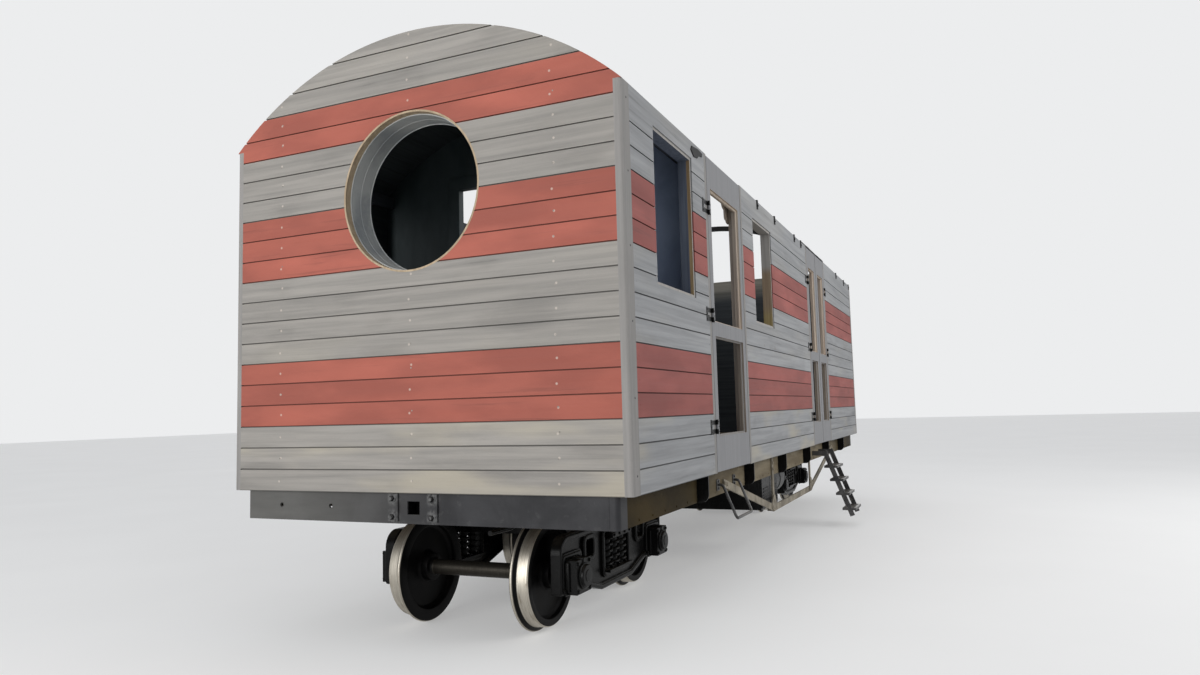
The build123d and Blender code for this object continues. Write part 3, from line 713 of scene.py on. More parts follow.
@dataclass(frozen=True)
class Planking(Finish):
    """Weathered grey boards with red stripes, painted dark inside, with painted light near the top of the
    inner face.
    """

    along: Axis
    outer: float
    top_row: int
    stripes: tuple[tuple[int, int], ...]
    grey: tuple[Colour, Colour]
    red: tuple[Colour, Colour]
    marks: tuple[float, ...] = ()
    faded_top: float | None = None
    groove: float = 0.0105
    beige: Colour = (172, 164, 146)
    knots: Colour = (122, 104, 96)
    screws: Colour = (196, 184, 172)
    inner: tuple[Colour, Colour] = ((30, 34, 38), (48, 52, 55))
    faded: tuple[Colour, Colour] = ((104, 101, 92), (136, 132, 122))

    def striped(self, row: Term) -> Term:
        """1 on the red boards: the sum over the stripes of 1 where the row lies inside."""
        return sum(row.between(low - 0.5, high - 0.5) for low, high in self.stripes)

    def screw_marks(self, along: Term, height: Term, chance: Term) -> Term:
        """The pale marks where screws hold each board, by the distance from their places.

        Args:
            along: The place along the boards.
            height: The height in boards.
            chance: The board's random number, which shifts the marks a little.

        Returns:
            The strongest of the marks.
        """
        above = (height.fraction() - 0.5) * PITCH
        total = 0.0
        for number, column in enumerate(self.marks):
            shift = (chance * (7.0 + 5 * number)).fraction()
            away = distance(along + (shift * 0.018 + (-column - 0.009)), above + (shift * 0.016 - 0.008))
            total = away.ramp(0.0085, 0.0035).math("MAXIMUM", total)
        return total

    def paint(self, graph: Graph) -> None:
        """Paints by board number: its row is the whole part of the height in pitches.

        Args:
            graph: The graph to build in.
        """
        x, y, z = graph.place()
        along, across = (x, y) if self.along is Axis.X else (y, x)
        height = (z - SILL) * (1 / PITCH)
        row = height.math("FLOOR").math("MINIMUM", self.top_row)
        chance = (row + across.math("SIGN") * 37.3).chance()
        run = along + chance * 53
        streak = graph.noise((run * 1.1, z * 30, across * 30), 6, 0.6, 0.2)
        fine = graph.noise((run * 9, z * 330, across * 330), 2, 0.6)
        cloud = graph.noise((run * 1.7, z * 5, across * 5), 4, 0.5)
        stain = graph.noise((run * 0.9, z * 3.2, 4.0), 3, 0.5)
        knot = graph.cells((run * 2.1, z * 2.6, 0.0))
        tone = streak.ramp(0.3, 0.7)

        grey = tone.mix(*self.grey).scaled(cloud.ramp(0.52, 0.7) * -0.14 + 1)
        stained = stain.ramp(0.5, 0.68) * (z.ramp(1.75, 0.9) * 0.5 + 0.1)
        grey = stained.mix(grey, self.beige).scaled(streak.ramp(0.36, 0.27) * -0.22 + 1)
        grey = (knot.ramp(0.036, 0.014) * 0.5).mix(grey, self.knots)
        red = cloud.ramp(0.36, 0.64).mix(*self.red).scaled(stain.ramp(0.5, 0.75) * 0.2 + 1)
        red = red.scaled(streak.ramp(0.42, 0.28) * -0.2 + 1)
        shade = self.striped(row).mix(grey, red).scaled(chance * 0.1 + 0.95)
        if self.marks:
            shade = (self.screw_marks(along, height, chance) * 0.55).mix(shade, self.screws)

        joint = height.to_whole()
        below_top = height.below(self.top_row + 0.4)
        # Painted highlight along the board edges beside each joint, partly also edge wear.
        shade = shade.scaled(joint.ramp(0.075, 0.045) * below_top * 0.05 + 1)
        shade = (joint.ramp(0.036, 0.026) * below_top).mix(shade, shade.scaled(0.42))
        inside = tone.mix(*self.inner)
        # Painted light: the inner face turns paler towards its top, as if lit from above.
        if self.faded_top:
            inside = z.ramp(self.faded_top - 0.3, self.faded_top).mix(inside, tone.mix(*self.faded))
        shade = abs(across).above(self.outer - self.groove).mix(inside, shade)
        graph.finish(shade, streak * 0.24 + 0.58, streak * 0.7 + fine * 0.3, 0.0018, 0.3)


@dataclass(frozen=True)
class Board(Finish):
    """Painted or bare wood with its grain along one axis, and bare reveals of some openings, darker low down
    as painted shade.
    """

    along: Axis
    light: Colour
    dark: Colour
    reveals: tuple[Pair, ...] = ()
    reveal_levels: Pair = (0.86, 2.69)
    painted_shade_below: float = 1.69
    bare: tuple[Colour, Colour] = ((172, 154, 138), (204, 190, 172))

    def paint(self, graph: Graph) -> None:
        """Paints streaks along the grain, and bare wood on faces that look into an opening, with painted
        shade on the reveals below a level.

        Args:
            graph: The graph to build in.
        """
        _, y, z = graph.place()
        scales = np.where(np.arange(3) == self.along.value, 1.5, 46.0)
        streak = graph.grain(scales, 6, 0.6, 0.3)
        cloud = graph.grain(2.3, 4, 0.55)
        shade = streak.ramp(0.24, 0.76).mix(self.dark, self.light)
        shade = (cloud.ramp(0.5, 0.7) * 0.4).mix(shade, self.dark)
        if self.reveals:
            seen = sum(y.between(*reveal) for reveal in self.reveals) * z.between(*self.reveal_levels)
            facing = abs(graph.normal()[0]).below(0.5)
            # Painted shade: the bare reveals below this level are darkened to 0.58 of their colour.
            painted_light_share = z.ramp(self.painted_shade_below - 0.04, self.painted_shade_below + 0.04)
            wood = streak.ramp(0.3, 0.7).mix(*self.bare).scaled(painted_light_share * 0.42 + 0.58)
            shade = (seen * facing).mix(shade, wood)
        graph.finish(shade, streak * 0.3 + 0.5, streak, 0.0012, 0.35)


@dataclass(frozen=True)
class Lining(Finish):
    """The window linings: blue-grey in the first window, grey above tan and ochre in the second."""

    strip_from: float = 1.192
    windows_part: float = -2.0
    wood_top: float = 2.30
    ochre_top: float = 2.02
    blue: tuple[Colour, Colour] = ((82, 90, 106), (112, 120, 134))
    grey: tuple[Colour, Colour] = ((144, 140, 135), (166, 162, 156))
    tan: tuple[Colour, Colour] = ((124, 105, 84), (150, 132, 108))
    ochre: tuple[Colour, Colour] = ((136, 118, 76), (160, 144, 100))
    strip: tuple[Colour, Colour] = ((140, 114, 84), (184, 158, 118))

    def paint(self, graph: Graph) -> None:
        """Paints by the face's direction and by which of the two windows it lines.

        Args:
            graph: The graph to build in.
        """
        x, y, z = graph.place()
        streak = graph.grain((46, 46, 1.5), 6, 0.6, 0.3)
        tone = streak.ramp(0.3, 0.7)
        grey = tone.mix(*self.grey)
        toward_x, toward_y, _ = graph.normal()
        forward = toward_y.below(-0.5)
        wood = z.ramp(self.ochre_top, self.ochre_top - 0.12).mix(tone.mix(*self.tan), tone.mix(*self.ochre))
        outer = forward * abs(x).above(self.strip_from)
        first = outer.mix(tone.mix(*self.blue), tone.mix(*self.strip))
        second = (forward * z.ramp(self.wood_top + 0.04, self.wood_top - 0.04)).mix(grey, wood)
        shade = abs(toward_x).above(0.5).mix(y.below(self.windows_part).mix(second, first), grey)
        graph.finish(shade, streak * 0.3 + 0.5, streak, 0.0012, 0.35)


@dataclass(frozen=True)
class RoofBoards(Finish):
    """Boards along the coach on the arched roof, weathered above and painted below."""

    board: float = 0.105
    skin: float = 0.036
    weathered: tuple[Colour, Colour] = ((120, 117, 110), (166, 162, 152))
    painted: tuple[Colour, Colour] = ((48, 54, 56), (64, 70, 72))

    def paint(self, graph: Graph) -> None:
        """Paints by the board's number round the arch: the angle times the radius, in board widths.

        Args:
            graph: The graph to build in.
        """
        x, y, z = graph.place()
        rise = z - ARCH_CENTRE
        count = x.math("ARCTAN2", rise) * (ARCH_RADIUS / self.board)
        chance = count.math("FLOOR").chance()
        streak = graph.noise((count * 5, y * 1.3 + chance * 40, 0.0), 6, 0.6)
        tone = streak.ramp(0.3, 0.7)
        gap = count.to_whole().ramp(0.045, 0.02)
        shade = tone.mix(*self.weathered).scaled(chance * 0.2 + 0.88)
        shade = gap.mix(shade, shade.scaled(0.3))
        shade = distance(x, rise).above(ARCH_RADIUS - self.skin).mix(tone.mix(*self.painted), shade)
        graph.finish(shade, streak * 0.2 + 0.6, streak * 0.4 + gap * -0.6, 0.002, 0.3)


@dataclass(frozen=True)
class DeckBoards(Finish):
    """Worn floor boards across the coach, dusty between the openings."""

    board: float = 0.14
    worn: tuple[Colour, Colour] = ((84, 70, 54), (132, 112, 88))
    dusty: Colour = (150, 144, 134)
    joints: Colour = (28, 24, 20)

    def paint(self, graph: Graph) -> None:
        """Paints by the board's number: the whole part of Y in board widths.

        Args:
            graph: The graph to build in.
        """
        x, y, z = graph.place()
        count = y * (1 / self.board)
        run = x * 1.5 + count.math("FLOOR").chance() * 30
        streak = graph.noise((run, y * 40, z * 40), 6, 0.6, 0.3)
        dust = graph.grain((2.2, 2.2, 0.0), 4, 0.6)
        gap = count.to_whole().ramp(0.035, 0.02)
        shade = (dust.ramp(0.45, 0.7) * 0.5).mix(streak.ramp(0.3, 0.7).mix(*self.worn), self.dusty)
        shade = gap.mix(shade, self.joints)
        graph.finish(shade, dust * 0.3 + 0.6, streak * 0.5 + gap * -0.5, 0.002, 0.3)


@dataclass(frozen=True)
class Metal(Finish):
    """Painted, cast or bare metal: two tones in patches, worn spots, and dust on what looks up."""

    dark: Colour
    light: Colour
    patch: float
    rough: float
    metallic: float = 0.0
    dust: Colour = (120, 112, 98)
    dusty: float = 0.3
    wear: Colour | None = None
    worn: float = 0.3
    relief: float = 0.0008
    gloss: float = 0.3

    def base(self, graph: Graph, shade: Term) -> Term:
        """The paint under wear and dust. Kinds with more than two tones change it here."""
        return shade

    def paint(self, graph: Graph) -> None:
        """Paints patches by soft noise, and dust by how far a face looks up.

        Args:
            graph: The graph to build in.
        """
        cloud = graph.grain(1 / self.patch, 5, 0.6, 0.4)
        speck = graph.grain(130, 3, 0.6)
        shade = self.base(graph, cloud.ramp(0.34, 0.66).mix(self.dark, self.light))
        if self.wear:
            flakes = graph.grain(6 / self.patch, 5, 0.65)
            shade = (flakes.ramp(0.58, 0.68) * self.worn).mix(shade, self.wear)
        if self.dusty:
            settled = graph.normal()[2].ramp(0.35, 0.95) * (cloud.ramp(0.3, 0.7) + 0.35) * self.dusty
            shade = settled.mix(shade, self.dust)
        roughness = (speck - 0.5) * 0.25 + self.rough
        graph.finish(shade, roughness, speck * 0.5 + cloud * 0.5, self.relief, self.gloss, self.metallic)


@dataclass(frozen=True)
class PartitionPaint(Metal):
    """Blue-grey paint, darker on the left, where the light of the windows doesn't reach."""

    # Tones of the painted shade on the left.
    far: tuple[Colour, Colour] = ((58, 68, 70), (74, 84, 86))

    def base(self, graph: Graph, shade: Term) -> Term:
        """Blends from the darker painted shade on the left to the patched blue-grey on the right."""
        # Painted shade: the left part of the partition gets the darker tones.
        far = graph.grain((3, 3, 1.2), 4, 0.6).ramp(0.35, 0.65).mix(*self.far)
        return graph.place()[0].ramp(0.2, 0.62).mix(far, shade)


@dataclass(frozen=True)
class HeadstockPaint(Metal):
    """Dark grey paint, paler to the left as painted light, with pale smudges round the coupling studs."""

    # Colour of the paler left part, partly painted light.
    pale: Colour = (112, 111, 107)
    smudge: Colour = (104, 104, 103)
    stud_x: float = 0.122
    stud_z: float = 0.0470
    pads_z: float = 0.739

    def base(self, graph: Graph, shade: Term) -> Term:
        """Adds the paler left part, which is partly painted light, and the smudges by the distance from the
        nearest stud.

        Args:
            graph: The graph to build in.
            shade: The patched paint.

        Returns:
            The paint's colour.
        """
        x, _, z = graph.place()
        painted_light_streaks = graph.grain((2.2, 14, 14), 5, 0.6)
        # Painted light: the headstock turns paler towards its left end, in streaks.
        shade = (x.ramp(0.35, -1.15) * (painted_light_streaks * 0.45 + 0.35)).mix(shade, self.pale)
        away = distance(abs(x) - self.stud_x, abs(z - self.pads_z) - self.stud_z)
        rubbed = away.ramp(0.05, 0.016) * graph.grain((55, 55, 40), 4, 0.6).ramp(0.36, 0.6)
        return (rubbed * 0.75).mix(shade, self.smudge)


@dataclass(frozen=True)
class SillPaint(Metal):
    """Underframe paint: dark ochre near the ends, blending to a paler beige towards the middle, the paleness
    painted light.
    """

    # Tones towards the middle, paler there as painted light.
    middle: tuple[Colour, Colour] = ((98, 88, 70), (130, 120, 100))
    ochre_from: float = 3.2
    painted_light_from: float = 1.7

    def base(self, graph: Graph, shade: Term) -> Term:
        """Blends from the patched ochre to the paler beige by the distance from the coach's middle; the
        paleness is painted light.
        """
        beige = graph.grain((9, 1.6, 9), 5, 0.6).ramp(0.32, 0.68).mix(*self.middle)
        # Painted light: paler beige towards the middle of the coach.
        return abs(graph.place()[1]).ramp(self.ochre_from, self.painted_light_from).mix(shade, beige)


@dataclass(frozen=True)
class WheelMetal(Finish):
    """A wheelset: bright rolled tread and flange tip, black discs, a greasy dark axle."""

    centre_y: float
    centre_z: float = 0.313
    tread: float = 0.2745
    flange_back: float = 0.3535
    flange_tip: float = 0.3665
    throat_end: float = 0.389
    rim_face: float = 0.4496
    hub_inner: float = 0.334
    axle_radius: float = 0.046
    bright: tuple[Colour, Colour] = ((150, 144, 133), (198, 192, 180))
    smeared: Colour = (112, 100, 84)
    black: tuple[Colour, Colour] = ((8, 8, 9), (20, 19, 18))
    steel: tuple[Colour, Colour] = ((36, 34, 30), (60, 57, 52))

    def paint(self, graph: Graph) -> None:
        """Paints by the distance from the axle's line and from the middle, with fine rings round it.

        Args:
            graph: The graph to build in.
        """
        x, y, z = graph.place()
        y, z, out = y - self.centre_y, z - self.centre_z, abs(x)
        radius = distance(y, z)
        angle = z.math("ARCTAN2", y)
        rings = graph.noise((x * 700, radius * 700, angle * 1.2), 3, 0.6)
        smear = graph.noise((x * 30, angle * 2.2, radius * 12), 4, 0.6)
        fine = rings.ramp(0.3, 0.7)
        tip = (out.ramp(self.flange_back - 0.001, self.flange_back + 0.001)
               * out.ramp(self.flange_tip + 0.004, self.flange_tip))
        rolled = out.ramp(self.throat_end - 0.006, self.throat_end)
        polished = radius.above(self.tread) * out.below(self.rim_face) * tip.math("MAXIMUM", rolled)
        axle = out.below(self.hub_inner) * radius.below(self.axle_radius)
        bright = (smear.ramp(0.5, 0.72) * 0.5).mix(fine.mix(*self.bright), self.smeared)
        shade = axle.mix(smear.ramp(0.35, 0.7).mix(*self.black), fine.mix(*self.steel))
        shade = polished.mix(shade, bright)
        metal = polished.math("MAXIMUM", axle * 0.8) * 0.9
        graph.finish(shade, (smear - 0.4) * 0.25 + 0.42, rings, 0.0004, 0.08, metal)


# Finishes

STRIPES = ((3, 6), (10, 13), (16, 18))
SCREW_COLUMNS = (-0.88, 0.0, 0.85)
REVEALS = ((-2.60, -1.82), (0.76, 1.18), (1.37, 1.79))
END_PLANKS = Planking("end_planks", Slot.PLANKING, Axis.X, HALF_LENGTH, 21, STRIPES,
                      ((129, 126, 121), (147, 143, 137)), ((142, 78, 66), (157, 87, 73)), SCREW_COLUMNS, 2.95)
# The side's red tones are darker than the end's red: painted shade, the side being lit less.
SIDE_PLANKS = Planking("side_planks", Slot.PLANKING, Axis.Y, HALF_WIDTH, 15, STRIPES[:2],
                       ((133, 134, 135), (154, 155, 156)), ((131, 74, 69), (146, 83, 77)))
POSTS = Board("grey_posts", Slot.DOOR, Axis.Z, (140, 137, 134), (122, 120, 117), REVEALS)
LEAVES = Board("leaf_paint", Slot.DOOR, Axis.Z, (135, 135, 136), (119, 119, 121), REVEALS)
RAW_WOOD = Board("raw_wood", Slot.WOOD, Axis.Z, (204, 190, 172), (172, 154, 138))
RIM_WOOD = Board("rim_wood", Slot.WOOD, Axis.Z, (178, 160, 134), (142, 124, 100))
RAILS = Board("rail_paint", Slot.WOOD, Axis.Y, (64, 68, 74), (44, 48, 54))
WINDOW_LINING = Lining("window_lining", Slot.WOOD)
INSIDE = PartitionPaint("inside_paint", Slot.INSIDE, (140, 156, 186), (160, 176, 204), 0.35, 0.5, dusty=0.2)
TUBE = Metal("tube_paint", Slot.INSIDE, (132, 136, 138), (168, 170, 168), 0.3, 0.45, dusty=0.15,
             wear=(184, 184, 180), worn=0.25)
ROOF = RoofBoards("roof_boards", Slot.ROOF)
DECK = DeckBoards("deck_boards", Slot.DECK)
HEADSTOCK = HeadstockPaint("headstock_paint", Slot.HEADSTOCK, (38, 38, 40), (53, 53, 55), 0.3, 0.5,
                           wear=(80, 80, 79), worn=0.22, gloss=0.15)
FRAME = SillPaint("frame_paint", Slot.FRAME, (38, 30, 12), (57, 46, 22), 0.5, 0.6, wear=(84, 72, 50),
                  worn=0.2, gloss=0.06)
BOW = Metal("bow_steel", Slot.BOW, (11, 11, 12), (24, 23, 24), 0.15, 0.42, wear=(62, 52, 44), worn=0.2,
            gloss=0.1)
TRUSS = Metal("truss_steel", Slot.TRUSS, (106, 99, 86), (148, 140, 124), 0.2, 0.6, wear=(80, 66, 50),
              worn=0.35, gloss=0.2)
IRON = Metal("black_iron", Slot.IRON, (7, 7, 7), (17, 17, 17), 0.18, 0.3, dusty=0.1, wear=(42, 39, 35),
             worn=0.2, relief=0.0014, gloss=0.1)
STEP = Metal("step_steel", Slot.STEP, (54, 54, 55), (84, 83, 82), 0.12, 0.42, 0.5, wear=(150, 146, 140),
             worn=0.4)
SCREW = Metal("screw_steel", Slot.STEP, (112, 108, 102), (156, 151, 144), 0.03, 0.5, 0.3, dusty=0.1)
BRIGHT = Metal("bright_steel", Slot.STEP, (170, 170, 168), (214, 213, 208), 0.02, 0.35, 0.7, dusty=0.1)


class Assembly:
    """A part of the coach that dresses its nodes and adds its pieces."""

    def dress(self, finish: Finish, *nodes: str) -> None:
        """Gives CAD nodes a finish through their material slots.

        Args:
            finish: The finish.
            nodes: The names of the nodes.
        """
        for name in nodes:
            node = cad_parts[name]
            for place in node.material_slots:
                place.material = finish.material()
            if not node.material_slots:
                node.data.materials.append(finish.material())
            log.info("%s has the finish %s", name, finish.name)

    def add(self, name: str, surface: Surface, finish: Finish, body: str = "coach", *replaced: str) -> None:
        """Puts a surface into the scene as a piece, smooth but for edges sharper than 34 degrees.

        Args:
            name: The piece's name.
            surface: Its shape, in the coach's frame.
            finish: Its finish.
            body: The body that it rides on.
            replaced: The CAD nodes that it stands for.
        """
        mesh = bpy.data.meshes.new(name)
        mesh.from_pydata(surface.corners, [], [row for face in surface.faces for row in face.tolist()])
        mesh.shade_smooth()
        mesh.set_sharp_from_angle(angle=math.radians(34))
        mesh.materials.append(finish.material())
        piece = bpy.data.objects.new(name, mesh)
        bpy.context.scene.collection.objects.link(piece)
        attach(piece, body)
        if replaced:
            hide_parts(*replaced)
        log.info("%s: %d faces on %s", name, len(mesh.polygons), body)

    def build(self) -> None:
        """Dresses the nodes and adds the pieces."""
        raise NotImplementedError


@dataclass
class Ends(Assembly):
    """The end walls with their screws, the corner posts and the lined round opening."""

    rows: int = 20
    screw_radius: float = 0.0042
    kept_share: float = 0.6
    opening_z: float = 2.386
    opening_clear: float = 0.46
    arch_clear: float = 0.03
    scatter: float = 0.006
    tube_radius: float = 0.415
    tube_front: float = -3.930
    tube_back: float = -3.769
    lip: float = 0.0035

    def screws(self) -> Surface:
        """The screw heads of the front wall.

        Returns:
            One head for each board and column, a little out of line and some of them missing, none over
            the round opening or beyond the arch.
        """
        random = np.random.default_rng(11)
        row, column = np.meshgrid(np.arange(self.rows) + 0.5, SCREW_COLUMNS, indexing="ij")
        x = (column + random.normal(0, self.scatter, column.shape)).ravel()
        z = (SILL + row * PITCH + random.normal(0, self.scatter, row.shape)).ravel()
        arch = ARCH_CENTRE + np.sqrt(ARCH_RADIUS**2 - x**2) - self.arch_clear
        inside = (z < arch) & (np.hypot(x, z - self.opening_z) > self.opening_clear)
        inside &= random.random(x.shape) < self.kept_share
        return dome(self.screw_radius, 0.0012, Axis.Y, -1).repeated(points(x, -HALF_LENGTH, z)[inside])

    def post_screws(self) -> Surface:
        """The screws in the side faces of the corner posts, one above the other."""
        y = np.array(((-HALF_LENGTH + 0.055,), (HALF_LENGTH - 0.055,)))
        places = points(HALF_WIDTH, y, np.linspace(SILL + 0.09, EAVES - 0.08, 6))
        return dome(0.006, 0.002).repeated(places).on_both_sides()

    def tube_rings(self) -> Surface:
        """The rolled lip at the back of the tube and the seam in its middle, two rings in it.

        Returns:
            Both rings, turned about Y.
        """
        lip = np.array((self.tube_back - 0.003, self.tube_radius - 0.001)) + round_section(self.lip, 10)
        seam = np.array(((0.0, 0.001), (0.014, 0.001), (0.012, -0.0012), (0.002, -0.0012)))
        seam = seam + np.array((self.tube_front + 0.075, self.tube_radius))
        rings = [revolved(profile, Axis.Y, 96, True) for profile in (lip, seam)]
        return joined(rings).moved(0, 0, self.opening_z)

    def build(self) -> None:
        """Dresses the ends and adds their details."""
        self.dress(END_PLANKS, "end_wall_front", "end_wall_rear")
        self.dress(POSTS, "corner_posts")
        self.dress(TUBE, "porthole_lining")
        self.dress(RIM_WOOD, "porthole_rim")
        self.add("end_screws", self.screws(), SCREW)
        self.add("post_screws", self.post_screws(), STEP)
        self.add("tube_rings", self.tube_rings(), TUBE)


@dataclass
class Sides(Assembly):
    """The side walls: planked panels with painted screws, window linings and door frames."""

    panels: tuple[str, ...] = ("front", "middle", "rear")
    margin: float = 0.032
    rows: int = 16
    top_rise: float = 0.03
    scatter: float = 0.004

    def screws(self) -> Surface:
        """The screws of the right side's panels.

        Returns:
            Two columns of heads at the ends of each panel, one head a board.
        """
        random = np.random.default_rng(23)
        z = SILL + (np.arange(self.rows) + 0.5) * PITCH
        z[-1] += self.top_rise
        boxes = [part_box(f"side_right_{panel}") for panel in self.panels]
        columns = [y for low, high in boxes for y in (low.y + self.margin, high.y - self.margin)]
        places = points(HALF_WIDTH, np.array(columns)[:, None], z)
        places[:, 1:] += random.normal(0, self.scatter, (len(places), 2))
        return dome(0.0055, 0.0014).repeated(places)

    def broken_lining(self) -> Surface:
        """The stub of a lining board that hangs behind the single door's frame, broken off below."""
        outline = ((-1.800, 2.495), (-1.800, 2.682), (-1.965, 2.682), (-1.960, 2.625), (-1.930, 2.590),
                   (-1.895, 2.580), (-1.890, 2.530), (-1.875, 2.512), (-1.860, 2.522), (-1.838, 2.499))
        return plate(outline, Axis.X, 1.124, 1.1385)

    def roof_scrap(self) -> Surface:
        """The scrap of dark roofing that is left on the top edge before the single door."""
        outline = ((-2.922, 2.712), (-2.869, 2.682), (-2.800, 2.690), (-2.762, 2.716), (-2.705, 2.722),
                   (-2.695, 2.746), (-2.790, 2.750), (-2.905, 2.738))
        return plate(outline, Axis.X, 1.2195, 1.2255)

    def build(self) -> None:
        """Dresses the sides and adds their screws and the two remnants of the right side."""
        for side in Side:
            self.dress(SIDE_PLANKS, *[f"side_{side.word}_{panel}" for panel in self.panels])
        self.dress(WINDOW_LINING, "window_liners")
        self.dress(POSTS, "door_frames")
        self.dress(RAILS, "cant_rails")
        screws = self.screws()
        for side in Side:
            self.add(f"side_screws_{side.word}", screws.on_side(side), SIDE_PLANKS)
        self.add("broken_lining", self.broken_lining(), RAW_WOOD)
        self.add("roof_scrap", self.roof_scrap(), BOW)


@dataclass
class Leaf:
    """One door leaf of the right side: its name, its windows' ends and its hinges' place and way."""

    name: str
    window_low: float
    window_high: float
    hinge_y: float
    way: int


@dataclass
class Doors(Assembly):
    """The door leaves with glazing beads and the screws of their black hinges."""

    plate_face: float = 1.223
    levels: tuple[tuple[str, Pair, Finish], ...] = (
        ("upper", (1.733, 2.568), RAW_WOOD),
        ("lower", (1.033, 1.643), POSTS),
    )
    hinge_levels: tuple[float, float, float] = (1.090, 1.765, 2.430)
    leaf_reach: float = 0.052
    fixed_reach: float = 0.097
    screw_rise: float = 0.030
    barrel_x: float = 1.229
    barrel_radius: float = 0.0082
    knuckles_half: float = 0.0394
    barrel_half: float = 0.044
    bead_width: float = 0.009
    bead_depth: float = 0.014
    bead_recess: float = 0.012
    bead_chamfer: float = 0.005
    leaves: tuple[Leaf, ...] = (
        Leaf("single", -2.540, -1.875, -2.612, 1),
        Leaf("double_front", 0.850, 1.1705, 0.768, 1),
        Leaf("double_rear", 1.3795, 1.700, 1.782, -1),
    )

    def bead(self, leaf: Leaf, level: Pair) -> Surface:
        """The glazing bead round one window of a leaf: a chamfered section round a rectangle.

        Args:
            leaf: The leaf.
            level: The window's lowest and highest Z.

        Returns:
            The bead on the right side.
        """
        front = HALF_WIDTH - self.bead_recess
        back = front - self.bead_depth
        width, chamfer = self.bead_width, self.bead_chamfer
        section = ((-0.001, back), (width, back), (width, front - chamfer), (width - chamfer, front),
                   (-0.001, front))
        return mitred_frame((leaf.window_low, level[0]), (leaf.window_high, level[1]), section, Axis.X)

    def hinge_screws(self, leaf: Leaf, reach: float) -> Surface:
        """The screws in a leaf's three hinge plates, three to a plate.

        Args:
            leaf: The leaf.
            reach: How far the plate's middle is from the hinge line, towards the leaf's free edge.

        Returns:
            The heads on the right side.
        """
        rises = np.array((-self.screw_rise, 0.0, self.screw_rise))
        z = np.array(self.hinge_levels)[:, None] + rises
        return dome(0.0055, 0.0022).repeated(points(self.plate_face, leaf.hinge_y + leaf.way * reach, z))

    def barrels(self, leaf: Leaf) -> Surface:
        """The domed ends of a leaf's hinge pins, above and below the knuckles on the hinge line.

        Args:
            leaf: The leaf.

        Returns:
            The ends on the right side, turned about Z.
        """
        low, high, radius = self.knuckles_half + 0.0003, self.barrel_half, self.barrel_radius
        profile = ((low, radius - 0.001), (low + 0.001, radius), (high - 0.002, radius),
                   (high - 0.0005, radius * 0.7), (high, radius * 0.3))
        upper = revolved(profile, Axis.Z, 16)
        places = points(self.barrel_x, leaf.hinge_y, np.array(self.hinge_levels))
        return joined([upper, upper.mirrored(Axis.Z)]).repeated(places)

    def build(self) -> None:
        """Dresses the leaves and adds beads, pin ends and screws on both sides."""
        self.dress(IRON, "hinge_plates")
        for leaf in self.leaves:
            for side in Side:
                name = f"{side.word}_{leaf.name}"
                body = f"leaf_{name}"
                self.dress(LEAVES, f"door_{name}")
                for word, level, finish in self.levels:
                    self.add(f"{word}_bead_{name}", self.bead(leaf, level).on_side(side), finish, body)
                screws = self.hinge_screws(leaf, self.leaf_reach)
                self.add(f"hinge_screws_{name}", screws.on_side(side), IRON, body)
        fixed = joined([self.hinge_screws(leaf, -self.fixed_reach) for leaf in self.leaves])
        self.add("hinge_screws_fixed", fixed.on_both_sides(), IRON)
        barrels = joined([self.barrels(leaf) for leaf in self.leaves])
        self.add("hinge_barrels", barrels.on_both_sides(), IRON)


@dataclass
class Roof(Assembly):
    """The boarded front roof, the one bare bow, the bolts of the clips and the doorways' rain strips."""

    clip_face: float = 1.228
    clip_ys: tuple[float, ...] = (-1.27, -0.66, 0.18, 0.50, 2.75, 3.40, 3.85)
    strip_ends: Pair = (0.53, 1.82)
    strip_x: float = 1.212

    def clip_bolts(self) -> Surface:
        """A bolt in each clip on the side walls."""
        places = points(self.clip_face, np.array(self.clip_ys), EAVES - 0.035)
        return bolt(0.007, 0.005).repeated(places).on_both_sides()

    def rain_strips(self) -> Surface:
        """The folded strip over each double doorway: a flat section carried along the eaves.

        Returns:
            The strips of both sides, a little wavy along their length by two sines.
        """
        y = np.linspace(*self.strip_ends, 24)
        wave = 0.0012 * np.sin(y * 9.0) + 0.0008 * np.sin(y * 23.0)
        section = rectangle((-0.014, -0.0045), (0.010, 0.0045))
        return swept(points(self.strip_x + wave, y, EAVES + 0.0048), section, (1, 0, 0)).on_both_sides()

    def build(self) -> None:
        """Dresses the roof and adds the bolts and strips."""
        self.dress(ROOF, "roof_front")
        self.dress(BOW, "roof_bows")
        self.add("clip_bolts", self.clip_bolts(), BOW)
        self.add("rain_strips", self.rain_strips(), BOW)


